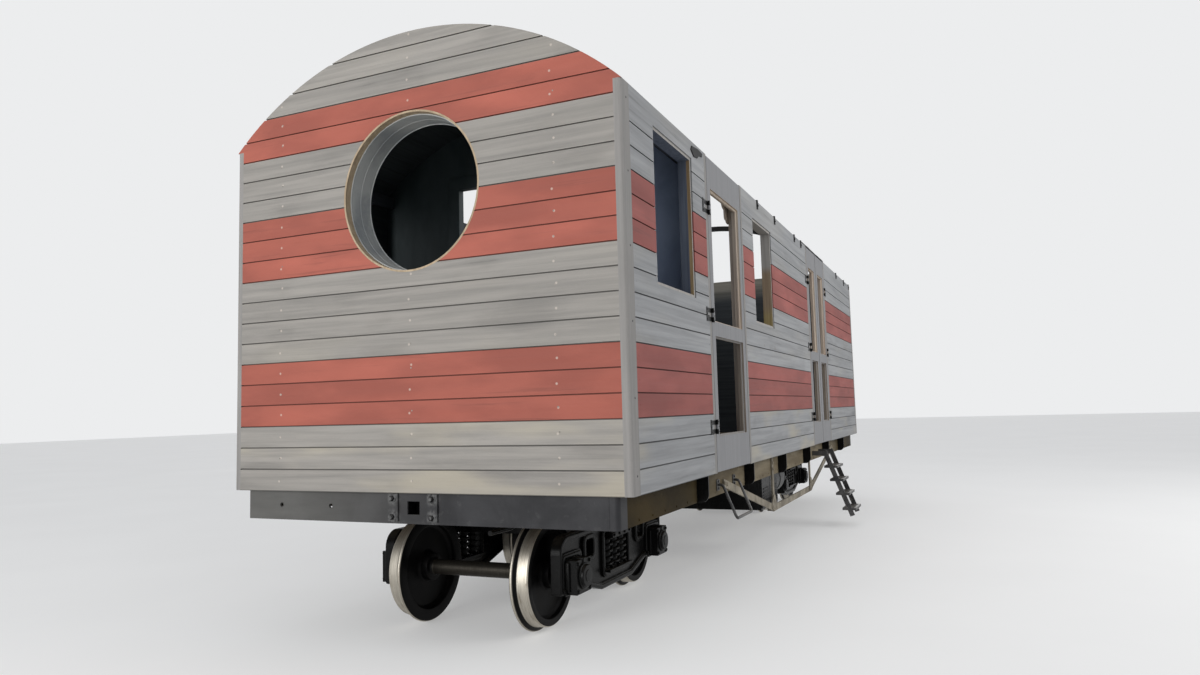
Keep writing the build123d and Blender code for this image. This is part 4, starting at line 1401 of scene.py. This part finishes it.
@dataclass
class Interior(Assembly):
    """The deck and the partition with the trim round its doorway."""

    partition_y: float = -2.70
    partition_thickness: float = 0.03
    half_doorway: float = 0.52
    deck: float = 0.853
    head: float = 2.753
    trim: float = 0.09

    def architrave(self, level: float, way: int) -> Surface:
        """The trim round the doorway on one face of the partition.

        Args:
            level: The face's Y.
            way: 1 or -1, the way that face looks.

        Returns:
            A moulded section carried up one side, over the head and down the other.
        """
        x = np.array((-1, -1, 1, 1))[:, None]
        top = np.array((0, 1, 1, 0))[:, None]
        spread = self.trim * np.array((0.0, 0.0, 0.5, 0.8, 1.0, 1.0))
        stand = np.array((-0.0005, 0.012, 0.018, 0.018, 0.012, -0.0005)) * way
        z = np.where(top, self.head, self.deck + 0.001) + top * spread
        return lofted(placed(Axis.Y, x * self.half_doorway + x * spread, z, level + stand))

    def corner_fillets(self) -> Surface:
        """The boards that close the partition's top corners, between the rails and the roof."""
        outline = ((1.0797, 2.7683), (1.159, 2.7683), (1.139, 2.784), (1.110, 2.8085), (1.0797, 2.832))
        return plate(outline, Axis.Y, self.partition_y + 0.001, self.partition_y + 0.021).on_both_sides()

    def build(self) -> None:
        """Dresses the inside and adds the trim and the fillets."""
        self.dress(DECK, "floor")
        self.dress(INSIDE, "partition")
        back = self.partition_y + self.partition_thickness
        trim = joined([self.architrave(self.partition_y, -1), self.architrave(back, 1)])
        self.add("doorway_trim", trim, INSIDE)
        self.add("corner_fillets", self.corner_fillets(), INSIDE)


@dataclass
class Underframe(Assembly):
    """Solebars, headstocks, cross members, outriggers and trusses with their fastenings."""

    half_width: float = 1.138
    bottom: float = 0.656
    end: float = 3.95
    pad_face: float = 3.962
    pad_z: float = 0.739
    stud_spacing: Pair = (0.244, 0.094)
    hole_xs: Pair = (-0.885, -0.539)
    hole_z: float = 0.737
    seam_x: float = 1.088
    truss_face: float = 1.1503
    foot: Pair = (2.24, 0.722)
    queen: Pair = (0.815, 0.398)

    def stud_places(self) -> Array:
        """The feet of the four front coupling studs."""
        x, z = np.meshgrid(*(np.array((-0.5, 0.5)) * spacing for spacing in self.stud_spacing))
        return points(x, -self.pad_face, self.pad_z + z)

    def stud_bosses(self) -> Surface:
        """The raised boss round each front coupling stud, a flared ring turned about Y."""
        ring = ((0.001, 0.0103), (-0.0045, 0.0103), (-0.006, 0.013), (-0.0045, 0.018), (0.001, 0.026))
        return revolved(ring, Axis.Y, 24, True).repeated(self.stud_places())

    def stud_nuts(self) -> Surface:
        """The black nuts on the front coupling studs."""
        nut = ((-0.004, 0.0155), (-0.014, 0.0155), (-0.0155, 0.0125))
        return revolved(nut, Axis.Y, 6).repeated(self.stud_places())

    def draw_pockets(self) -> Surface:
        """The closed box behind each draw hole: a thick-walled cup with square corners, open outward.

        Returns:
            The pockets of both ends. Each is carried from its outer mouth round to the inner floor.
        """
        level = np.array((-3.9375, -3.9375, -3.862, -3.862, -3.866, -3.866))[:, None]
        half = np.array((0.0425, 0.0475, 0.0475, 0.002, 0.002, 0.0425))[:, None]
        x, z = rectangle((-1, -1), (1, 1)).T
        cup = lofted(placed(Axis.Y, half * x, self.pad_z - 0.002 + (half - 0.004) * z, level), True)
        return joined([cup, cup.turned()])

    def headstock_seams(self) -> Surface:
        """The rims of the two round holes in each headstock and the welds beside them.

        Returns:
            The rims and welds of both ends.
        """
        ring = ((0.001, 0.0118), (-0.0015, 0.0118), (-0.0015, 0.0145), (0.001, 0.0155))
        holes = points(np.array(self.hole_xs), -self.end, self.hole_z)
        rims = revolved(ring, Axis.Y, 24, True).repeated(holes)
        path = points(self.seam_x, -self.end, np.linspace(self.bottom + 0.006, SILL - 0.004, 40))
        seam = swept(path, round_section(0.0028, 8) * np.array((1.0, 0.55)), (1, 0, 0))
        front = joined([rims, seam])
        return joined([front, front.turned()])

    def solebar_rivets(self) -> Surface:
        """Two rows of rivets along each solebar, none under the feet of the trusses.

        Returns:
            The rivet heads of both sides.
        """
        y = np.arange(-3.7, 3.71, 0.185)
        y = y[np.abs(np.abs(y) - self.foot[0]) >= 0.06]
        places = points(self.half_width, y, np.array(((self.bottom + 0.022,), (SILL - 0.022,))))
        return dome(0.0075, 0.004, segments=8).repeated(places).on_both_sides()

    def truss_bolts(self) -> Surface:
        """Bolts at the feet of the trusses and where their posts meet the chord.

        Returns:
            The bolts of both sides.
        """
        foot_y, foot_z = self.foot
        queen_y, queen_z = self.queen
        y, z = np.array(((foot_y - 0.012, foot_z - 0.003), (foot_y - 0.062, foot_z - 0.014),
                         (queen_y, queen_z), (queen_y - 0.06, queen_z), (queen_y, queen_z + 0.06),
                         (queen_y + 0.055, queen_z + 0.0125), (queen_y, SILL - 0.06),
                         (queen_y, SILL - 0.11))).T
        places = points(self.truss_face, np.array(((1,), (-1,))) * y, z)
        return bolt(0.012, 0.009).repeated(places).on_both_sides()

    def truss_gussets(self) -> Surface:
        """The five-sided plates behind the joints of post, chord and sloping end.

        Returns:
            The plates of both sides.
        """
        corners = np.array(((-0.1, -0.022), (0.02, -0.022), (0.1, 0.012), (0.085, 0.05), (0.022, 0.105),
                            (-0.022, 0.105)))
        outline = rounded(np.array(self.queen) + corners, 0.012, 3, True)
        front = plate(outline, Axis.X, self.truss_face - 0.0005, self.truss_face + 0.006)
        return joined([front, front.mirrored(Axis.Y)]).on_both_sides()

    def build(self) -> None:
        """Dresses the underframe and adds its fastenings."""
        self.dress(HEADSTOCK, "headstocks")
        self.dress(FRAME, "frame_sills", "cross_members")
        self.dress(IRON, "outriggers")
        self.dress(TRUSS, "trusses")
        self.add("draw_pockets", self.draw_pockets(), IRON)
        self.add("stud_bosses", self.stud_bosses(), HEADSTOCK)
        self.add("stud_nuts", self.stud_nuts(), IRON)
        self.add("headstock_seams", self.headstock_seams(), HEADSTOCK)
        self.add("solebar_rivets", self.solebar_rivets(), FRAME)
        self.add("truss_gussets", self.truss_gussets(), TRUSS)
        self.add("truss_bolts", self.truss_bolts(), TRUSS)


@dataclass
class Equipment(Assembly):
    """Battery boxes with lids, air reservoirs with straps and the brake cylinder with its pipes."""

    battery_face: float = 1.04
    battery_low: Pair = (-0.79, 0.3727)
    battery_high: Pair = (-0.19, 0.6927)
    reservoir: tuple[float, float, float] = (0.72, 0.555, 0.4977)
    reservoir_radius: float = 0.15
    strap_reach: float = 0.22
    cylinder_y: float = 0.21
    cylinder_z: float = 0.545
    pipe_z: float = 0.655
    pipe_radius: float = 0.0135
    pipe_near: float = 0.33
    pipe_far: float = 0.40
    pipe_bend: float = 1.4
    bolt_circle: float = 0.112

    def battery_doors(self) -> Surface:
        """Each battery box's two doors: raised plates with rounded corners, louvres and a latch.

        Returns:
            The doors of both sides.
        """
        low_y, low_z = self.battery_low
        high_y, high_z = self.battery_high
        face, middle = self.battery_face, (low_y + high_y) / 2
        levels = points(0.0, 0.0, low_z + 0.06 + np.arange(5) * 0.026)
        pieces = []
        for start, stop in ((low_y + 0.012, middle - 0.004), (middle + 0.004, high_y - 0.012)):
            door = pad((start, low_z + 0.012), (stop, high_z - 0.014), 0.012, Axis.X, face - 0.001,
                       face + 0.006, 0.002)
            louvre = pad((start + 0.045, -0.006), (stop - 0.045, 0.006), 0.006, Axis.X, face + 0.005,
                         face + 0.011, 0.004)
            centre = (start + stop) / 2
            latch = pad((centre - 0.03, high_z - 0.06), (centre + 0.03, high_z - 0.04), 0.006, Axis.X,
                        face + 0.005, face + 0.016, 0.003)
            pieces += [door, louvre.repeated(levels), latch]
        return joined(pieces).on_both_sides()

    def straps(self) -> Surface:
        """Two straps round each reservoir: a flat section turned about its axis.

        Returns:
            The straps of both sides.
        """
        band = rectangle((-0.022, -0.0004), (0.022, 0.004)) + np.array((0, self.reservoir_radius))
        x, y, z = self.reservoir
        places = points(x, y + self.strap_reach * np.array((-1, 1)), z)
        return revolved(band, Axis.Y, 56, True).repeated(places).on_both_sides()

    def cylinder_covers(self) -> Surface:
        """The brake cylinder's two flanged covers with their bolts, turned about Y.

        Returns:
            The front cover with its bolts and its mirror image.
        """
        cover = revolved(((-0.012, 0.05), (-0.012, 0.121), (0.008, 0.127), (0.02, 0.127), (0.02, 0.112),
                          (0.012, 0.05)), Axis.Y, 48, True)
        x, z = round_section(self.bolt_circle, 8).T
        bolts = bolt(0.009, 0.007, Axis.Y, -1).repeated(points(x, -0.012, z))
        front = joined([cover, bolts]).moved(0, -self.cylinder_y, self.cylinder_z)
        return joined([front, front.mirrored(Axis.Y)])

    def pipes(self) -> Surface:
        """The train pipe under the right centre sill: a round section carried along a bent path.

        Returns:
            The pipe with its clips.
        """
        near, far, level = self.pipe_near, self.pipe_far, self.pipe_z
        half = np.array(((0.36, -3.80, 0.60), (0.36, -3.6, 0.60), (far, -3.35, level), (far, -1.5, level),
                         (near, -1.35, level)))
        run = rounded(np.concatenate([half, half[::-1] * np.array((1, -1, 1))]), 0.06, 7)
        pipe = swept(run, round_section(self.pipe_radius, 12), (0, 0, 1))
        y = np.array((-3.1, -2.2, -1.0, 0.0, 1.0, 2.2, 3.1))
        clip = pad((-0.02, -0.012), (0.02, 0.012), 0.002, Axis.Z, 0.010, 0.037, 0.002, 2)
        places = points(np.where(np.abs(y) < self.pipe_bend, near, far), y, level)
        return joined([pipe, clip.repeated(places)])

    def build(self) -> None:
        """Dresses the equipment and adds its fittings."""
        self.dress(IRON, "battery_boxes", "air_reservoirs", "brake_gear")
        self.add("battery_doors", self.battery_doors(), IRON)
        self.add("reservoir_straps", self.straps(), IRON)
        self.add("cylinder_covers", self.cylinder_covers(), IRON)
        self.add("train_pipe", self.pipes(), IRON)


@dataclass
class Bogie(Assembly):
    """One bogie: cast side frames with raised edges, coil springs, axlebox covers and two wheelsets."""

    end: End
    centre: float = 2.675
    frame_face: float = 0.574
    frame_back: float = 0.520
    frame_x: float = 0.547
    half_base: float = 0.625
    axle_z: float = 0.313
    box_face: float = 0.645
    box_half: float = 0.09
    foot_z: float = 0.225
    top_z: float = 0.533
    belly: Pair = (0.235, 0.155)
    foot_reach: Pair = (0.475, 0.775)
    jaw: tuple[float, float, float] = (0.535, 0.715, 0.403)
    rail_z: float = 0.473
    window: Pair = (0.18, 0.245)
    hole: tuple[float, float, float] = (0.345, 0.445, 0.375)
    hole_round: float = 0.022
    rib_half: float = 0.014
    rib_stand: float = 0.0065
    seat_z: float = 0.257
    spring_top: float = 0.445
    coil_radius: float = 0.037
    guide_radius: float = 0.027
    wire: float = 0.008
    turns: float = 5.5
    spring_ys: tuple[float, float, float] = (-0.105, 0.0, 0.105)
    cap_face: float = 0.615

    def axle_places(self, x: float) -> Array:
        """The two axles' places on the bogie at a given X."""
        return points(x, np.array((-self.half_base, self.half_base)), self.axle_z)

    def spring(self) -> Surface:
        """A coil spring: a round wire carried along a helix whose ends lie flat.

        Returns:
            The spring about its own axis, standing on Z 0. The point at turn t stands at radius r and
            angle 2 pi t, and its height follows t but flattens over the first and last turn.
        """
        turn = np.linspace(0, self.turns, int(self.turns * 26))
        share = turn / self.turns
        eased = np.clip((share - 0.1) / 0.8, 0, 1)
        height = self.spring_top - self.seat_z - 0.0006 - 2 * self.wire
        angle = 2 * math.pi * turn
        radial = points(np.cos(angle), np.sin(angle), 0.0)
        path = radial * self.coil_radius
        path[:, 2] = self.wire + height * (0.88 * eased + 0.12 * share)
        return swept(path, round_section(self.wire, 9), radial)

    def springs(self) -> Surface:
        """All the springs of the bogie, each with a dark guide tube inside its coils.

        Returns:
            The springs and guide tubes of both sides.
        """
        tube = ((0.0004, self.guide_radius), (self.spring_top - self.seat_z - 0.0006, self.guide_radius))
        nest = joined([self.spring(), revolved(tube, Axis.Z, 20)])
        places = points(self.frame_x, np.array(self.spring_ys), self.seat_z + 0.0003)
        return nest.repeated(places).on_both_sides()

    def rib(self, line: Array, face: float) -> Surface:
        """A full round edge of a cast side frame, carried along a closed line on one of its faces.

        Args:
            line: The points of its middle line, as Y and Z.
            face: The face's X.

        Returns:
            Half an ellipse, flat on the face, carried along the line.
        """
        angle = np.linspace(0, math.pi, 9)
        way = 1 if face > self.frame_x else -1
        arch = np.stack([way * self.rib_stand * np.sin(angle), self.rib_half * np.cos(angle)], -1)
        base = ((-way * 0.002, -self.rib_half), (-way * 0.002, self.rib_half))
        return swept(placed(Axis.X, *line.T, face), np.concatenate([arch, base]), (1, 0, 0), True)

    def frame_lines(self) -> list[Array]:
        """The middle lines of the ribs: the outline moved inward, and the openings moved outward.

        Returns:
            The lines' points as Y and Z, one array for each line.
        """
        foot, top = self.foot_z, self.top_z
        inner, outer = self.foot_reach
        jaw_in, jaw_out, jaw_top = self.jaw
        half = np.array((self.belly, (inner, foot), (jaw_in, foot), (jaw_in, jaw_top), (jaw_out, jaw_top),
                         (jaw_out, foot), (outer, foot), (outer, top)))
        radius = np.array((0.09, 0.05, 0.006, 0.018, 0.018, 0.006, 0.006, 0.08))
        corners = np.concatenate([half, half[::-1] * np.array((-1, 1))])
        inward = self.rib_half + 0.001
        lines = [rounded(inset(corners, inward), np.concatenate([radius, radius[::-1]]), 9, True)]
        window = rectangle((-self.window[0], self.window[1]), (self.window[0], self.rail_z))
        hole = rectangle((self.hole[0], self.hole[2]), (self.hole[1], self.rail_z))
        for opening in (window, hole, hole * np.array((-1, 1))):
            lines.append(rounded(inset(opening, -inward), self.hole_round + inward, 7, True))
        return lines

    def frame_ribs(self) -> Surface:
        """The round edges on both faces of both side frames."""
        faces = (self.frame_face, self.frame_back)
        return joined([self.rib(line, face) for line in self.frame_lines() for face in faces]).on_both_sides()

    def wear_plates(self) -> Surface:
        """The axleboxes' guide flanges beside the jaws, their rib on top and the keeper bolts below.

        Returns:
            The flanges, ribs and bolts of all four axleboxes.
        """
        half = self.box_half
        face = self.frame_face + self.rib_stand
        pieces = []
        for way in (-1, 1):
            near, far = sorted((way * (half - 0.004), way * (half + 0.016)))
            pieces.append(pad((near, -half + 0.012), (far, half - 0.008), 0.005, Axis.X, face, face + 0.024,
                              0.004, 3))
            pieces.append(bolt(0.012, 0.011).moved(face, way * (half + 0.029), -0.069))
        pieces.append(pad((-0.016, 0.03), (0.016, half + 0.008), 0.006, Axis.X, self.frame_face,
                          self.box_face + 0.006, 0.004, 3))
        pieces.append(pad((-half - 0.03, -half - 0.006), (half + 0.03, -half + 0.016), 0.006, Axis.X, face,
                          face + 0.01, 0.003, 3))
        return joined(pieces).repeated(self.axle_places(0)).on_both_sides()

    def bolster_caps(self) -> Surface:
        """The bolted plates over the spring nests, on the ends of the bolster.

        Returns:
            The plates and bolts of both sides.
        """
        cap = pad((-0.145, self.spring_top - 0.004), (0.145, self.rail_z - 0.002), 0.005, Axis.X,
                  self.cap_face - 0.0065, self.cap_face, 0.002, 3)
        y = np.array((-0.12, -0.04, 0.04, 0.12))
        level = (self.spring_top + self.rail_z) / 2 - 0.002
        heads = bolt(0.0085, 0.008).repeated(points(self.cap_face, y, level))
        return joined([cap, heads]).on_both_sides()

    def covers(self) -> Surface:
        """The axlebox covers: a flanged round lid turned about X, with bolts and a plug.

        Returns:
            The covers of all four axleboxes.
        """
        lid = ((-0.001, 0.072), (0.007, 0.072), (0.0095, 0.069), (0.0105, 0.0635), (0.0200, 0.0618),
               (0.0245, 0.057), (0.0255, 0.034), (0.0285, 0.031), (0.0290, 0.016), (0.0290, 0.004))
        y, z = 0.073 * np.array(((1, -1, 1, -1), (1, 1, -1, -1)))
        cover = joined([revolved(lid, Axis.X, 40), bolt(0.0105, 0.009).repeated(points(0, y, z))])
        return cover.repeated(self.axle_places(self.box_face)).on_both_sides()

    def wheelset(self) -> Surface:
        """A wheelset turned about X: journals, hubs, dished discs, rims with tread and flange.

        Returns:
            The profile of one wheel with rounded corners and its mirror image, about the origin.
        """
        half = (
            (0.200, 0.043), (0.318, 0.043), (0.335, 0.052), (0.335, 0.080), (0.378, 0.080), (0.3885, 0.095),
            (0.3885, 0.225), (0.376, 0.241), (0.350, 0.241), (0.350, 0.305), (0.358, 0.313), (0.366, 0.313),
            (0.380, 0.290), (0.392, 0.287), (0.444, 0.284), (0.451, 0.277), (0.451, 0.241), (0.425, 0.241),
            (0.4125, 0.225), (0.4125, 0.095), (0.425, 0.080), (0.465, 0.080), (0.465, 0.046), (0.472, 0.038),
            (0.627, 0.038), (0.627, 0.004))
        line = rounded(half, 0.006, 4)
        return revolved(np.concatenate([line[::-1] * np.array((-1, 1)), line]), Axis.X, 96)

    def build(self) -> None:
        """Dresses the bogie, replaces its springs and wheelsets, and adds edges and covers."""
        word = self.end.word
        body = f"bogie_{word}"
        centre = self.end.value * self.centre
        self.dress(IRON, f"bogie_frame_{word}", f"axleboxes_{word}", f"springs_{word}")
        self.add(f"coil_springs_{word}", self.springs().moved(0, centre, 0), IRON, body, f"springs_{word}")
        pieces = {"frame_ribs": self.frame_ribs(), "wear_plates": self.wear_plates(),
                  "bolster_caps": self.bolster_caps(), "axlebox_covers": self.covers()}
        for name, surface in pieces.items():
            self.add(f"{name}_{word}", surface.moved(0, centre, 0), IRON, body)
        for axle, offset in (("leading", -self.half_base), ("trailing", self.half_base)):
            y = centre + offset
            name = f"{word}_{axle}"
            finish = WheelMetal(f"wheels_{name}", Slot.WHEEL, y)
            self.dress(finish, f"wheelset_{name}")
            wheels = self.wheelset().moved(0, y, self.axle_z)
            self.add(f"wheels_{name}", wheels, finish, f"axle_{name}", f"wheelset_{name}")


@dataclass
class Steps(Assembly):
    """The rod steps and the step ladders, with nosings, treads and bolted feet."""

    ladder_y: float = 1.23
    ladder_half: float = 0.19
    top: Pair = (1.26, 0.743)
    foot: Pair = (1.50, 0.113)
    tread_levels: tuple[float, ...] = (0.598, 0.468, 0.333, 0.188)
    tread_depth: float = 0.13
    solebar: float = 1.138
    pad_z: float = 0.72

    def tread_places(self) -> Array:
        """The middle of each tread's top: on the line from the ladder's top to its foot."""
        z = np.array(self.tread_levels)
        share = (z - self.top[1]) / (self.foot[1] - self.top[1])
        return points(self.top[0] + share * (self.foot[0] - self.top[0]), self.ladder_y, z)

    def nosings(self) -> Surface:
        """The bright strip along the front edge of each tread: a thin flat bar across the ladder.

        Returns:
            The strips of both ladders.
        """
        x, z = np.array(((-0.0006, 0.0008), (-0.0014, 0.0016), (-0.021, 0.0016), (-0.022, -0.0004),
                         (-0.0006, -0.0004))).T
        y = (self.ladder_half - 0.013) * np.array(((-1,), (1,)))
        strip = lofted(placed(Axis.Y, x, z, y)).moved(self.tread_depth / 2, 0, 0)
        return strip.repeated(self.tread_places()).on_both_sides()

    def studs(self) -> Surface:
        """The raised pattern on the treads: rows of small domes.

        Returns:
            The domes of both ladders.
        """
        x, y = np.meshgrid(np.linspace(-0.05, 0.03, 5), np.linspace(-0.16, 0.16, 17))
        x = x + np.where(np.arange(17) % 2, 0.008, -0.002)[:, None]
        spots = dome(0.004, 0.0012, Axis.Z, 1, 6).repeated(points(x, y, 0))
        return spots.repeated(self.tread_places()).on_both_sides()

    def feet(self) -> Surface:
        """The pads that bolt the rod steps and the ladder's arms to the solebar.

        Returns:
            The pads and bolts of both sides.
        """
        face = self.solebar + 0.007
        foot = pad((-0.03, -0.035), (0.03, 0.035), 0.01, Axis.X, self.solebar - 0.0005, face, 0.0015)
        fixing = joined([foot, bolt(0.008, 0.007).repeated(((face, 0, 0.022), (face, 0, -0.022)))])
        return fixing.repeated(points(0, np.array((-2.35, -1.97)), self.pad_z)).on_both_sides()

    def build(self) -> None:
        """Dresses the steps and adds their fittings."""
        self.dress(STEP, "step_irons", "step_ladders")
        self.add("tread_nosings", self.nosings(), BRIGHT)
        self.add("tread_studs", self.studs(), STEP)
        self.add("step_feet", self.feet(), STEP)


@dataclass
class Studio:
    """The plain floor and backdrop, the soft lamps and the camera at the photograph's angle."""

    camera_place: tuple[float, float, float] = (2.638, -7.488, 1.209)
    yaw: float = 23.942
    pitch: float = 4.985
    roll: float = -1.568
    focal_pixels: float = 832.05
    image_width: float = 1200.0
    sensor: float = 36.0
    floor_half: float = 60.0
    floor_tones: tuple[Colour, Colour] = ((198, 198, 196), (206, 206, 204))
    floor_lift: float = 0.3
    sky_light: float = 0.6
    sky_colour: Colour = (0.93, 0.95, 1.0)
    backdrop: Colour = (236, 237, 238)
    lamp_size: float = 6.0

    def seen(self, tree: bpy.types.NodeTree) -> bpy.types.NodeSocket:
        """1 for camera, mirror and glass rays, which see the backdrop and don't light the coach.

        Args:
            tree: The nodes of the floor or the sky.

        Returns:
            The highest of the three ray kinds.
        """
        path = tree.nodes.new("ShaderNodeLightPath")
        total = path.outputs["Is Camera Ray"]
        for kind in ("Is Glossy Ray", "Is Transmission Ray"):
            node = tree.nodes.new("ShaderNodeMath")
            node.operation = "MAXIMUM"
            tree.links.new(total, node.inputs[0])
            tree.links.new(path.outputs[kind], node.inputs[1])
            total = node.outputs[0]
        return total

    def floor(self) -> None:
        """A wide pale floor at the level of the flanges, which keeps the coach's shadow."""
        mesh = bpy.data.meshes.new("studio_floor")
        x, y = rectangle((-self.floor_half,) * 2, (self.floor_half,) * 2).T
        mesh.from_pydata(points(x, y, 0), [], [(0, 1, 2, 3)])
        graph = Graph("studio_floor")
        graph.finish(graph.grain((0.6, 0.6, 0.0), 3, 0.5).mix(*self.floor_tones), 0.8, specular=0.1)
        graph.shader.inputs["Emission Color"].default_value = (1.0, 1.0, 1.0, 1.0)
        lift = Term(graph, self.seen(graph.tree)) * self.floor_lift
        graph.feed(graph.shader.inputs["Emission Strength"], lift)
        mesh.materials.append(graph.material)
        floor = bpy.data.objects.new("studio_floor", mesh)
        bpy.context.scene.collection.objects.link(floor)

    def world(self) -> None:
        """An even sky that lights the coach softly, and a paler one that the camera and metal see."""
        world = bpy.data.worlds.new("studio_world")
        world.use_nodes = True
        tree = world.node_tree
        light = tree.nodes["Background"]
        pale = tree.nodes.new("ShaderNodeBackground")
        blend = tree.nodes.new("ShaderNodeMixShader")
        skies = ((light, self.sky_colour, self.sky_light), (pale, linear(self.backdrop), 1.0))
        for node, tone, strength in skies:
            node.inputs["Color"].default_value = (*tone, 1.0)
            node.inputs["Strength"].default_value = strength
        for socket, source in enumerate((self.seen(tree), light.outputs[0], pale.outputs[0])):
            tree.links.new(source, blend.inputs[socket])
        tree.links.new(blend.outputs[0], tree.nodes["World Output"].inputs["Surface"])
        bpy.context.scene.world = world

    def lamp(self, name: str, place: tuple[float, float, float], target: tuple[float, float, float],
             power: float) -> None:
        """A square soft lamp that looks at a point.

        Args:
            name: Its name.
            place: Where it hangs.
            target: What it looks at.
            power: Its power in watts.
        """
        light = bpy.data.lights.new(name, "AREA")
        light.size = self.lamp_size
        light.energy = power
        lamp = bpy.data.objects.new(name, light)
        lamp.location = place
        lamp.rotation_euler = (Vector(target) - Vector(place)).to_track_quat("-Z", "Y").to_euler()
        bpy.context.scene.collection.objects.link(lamp)

    def camera(self) -> None:
        """The camera, turned by yaw, pitch and roll as the photograph was taken."""
        yaw, pitch, roll = (math.radians(angle) for angle in (self.yaw, self.pitch, self.roll))
        forward = Vector((-math.sin(yaw) * math.cos(pitch), math.cos(yaw) * math.cos(pitch), math.sin(pitch)))
        level = Vector((math.cos(yaw), math.sin(yaw), 0))
        upward = level.cross(forward)
        right = math.cos(roll) * level + math.sin(roll) * upward
        top = -math.sin(roll) * level + math.cos(roll) * upward
        data = bpy.data.cameras.new("camera")
        data.sensor_width = self.sensor
        data.lens = self.focal_pixels * self.sensor / self.image_width
        data.clip_end = 200.0
        camera = bpy.data.objects.new("camera", data)
        turn = Matrix((right, top, -forward)).transposed().to_4x4()
        camera.matrix_world = Matrix.Translation(self.camera_place) @ turn
        bpy.context.scene.collection.objects.link(camera)
        bpy.context.scene.camera = camera

    def build(self) -> None:
        """Sets floor, sky, lamps, camera and colour view."""
        self.floor()
        self.world()
        self.lamp("front_lamp", (-1.5, -13.0, 2.5), (0, -4.0, 1.6), 755)
        self.lamp("side_lamp", (10.0, 0.5, 5.0), (1.2, 0.0, 1.6), 430)
        self.camera()
        bpy.context.scene.view_settings.view_transform = "Standard"


def main() -> None:
    logging.basicConfig(level=logging.INFO, format="%(name)s: %(message)s")
    assemblies: list[Assembly] = [Ends(), Sides(), Doors(), Roof(), Interior(), Underframe(), Equipment()]
    for assembly in (*assemblies, *(Bogie(end) for end in End), Steps()):
        assembly.build()
        log.info("%s done", type(assembly).__name__)
    Studio().build()


if __name__ == "__main__":
    main()
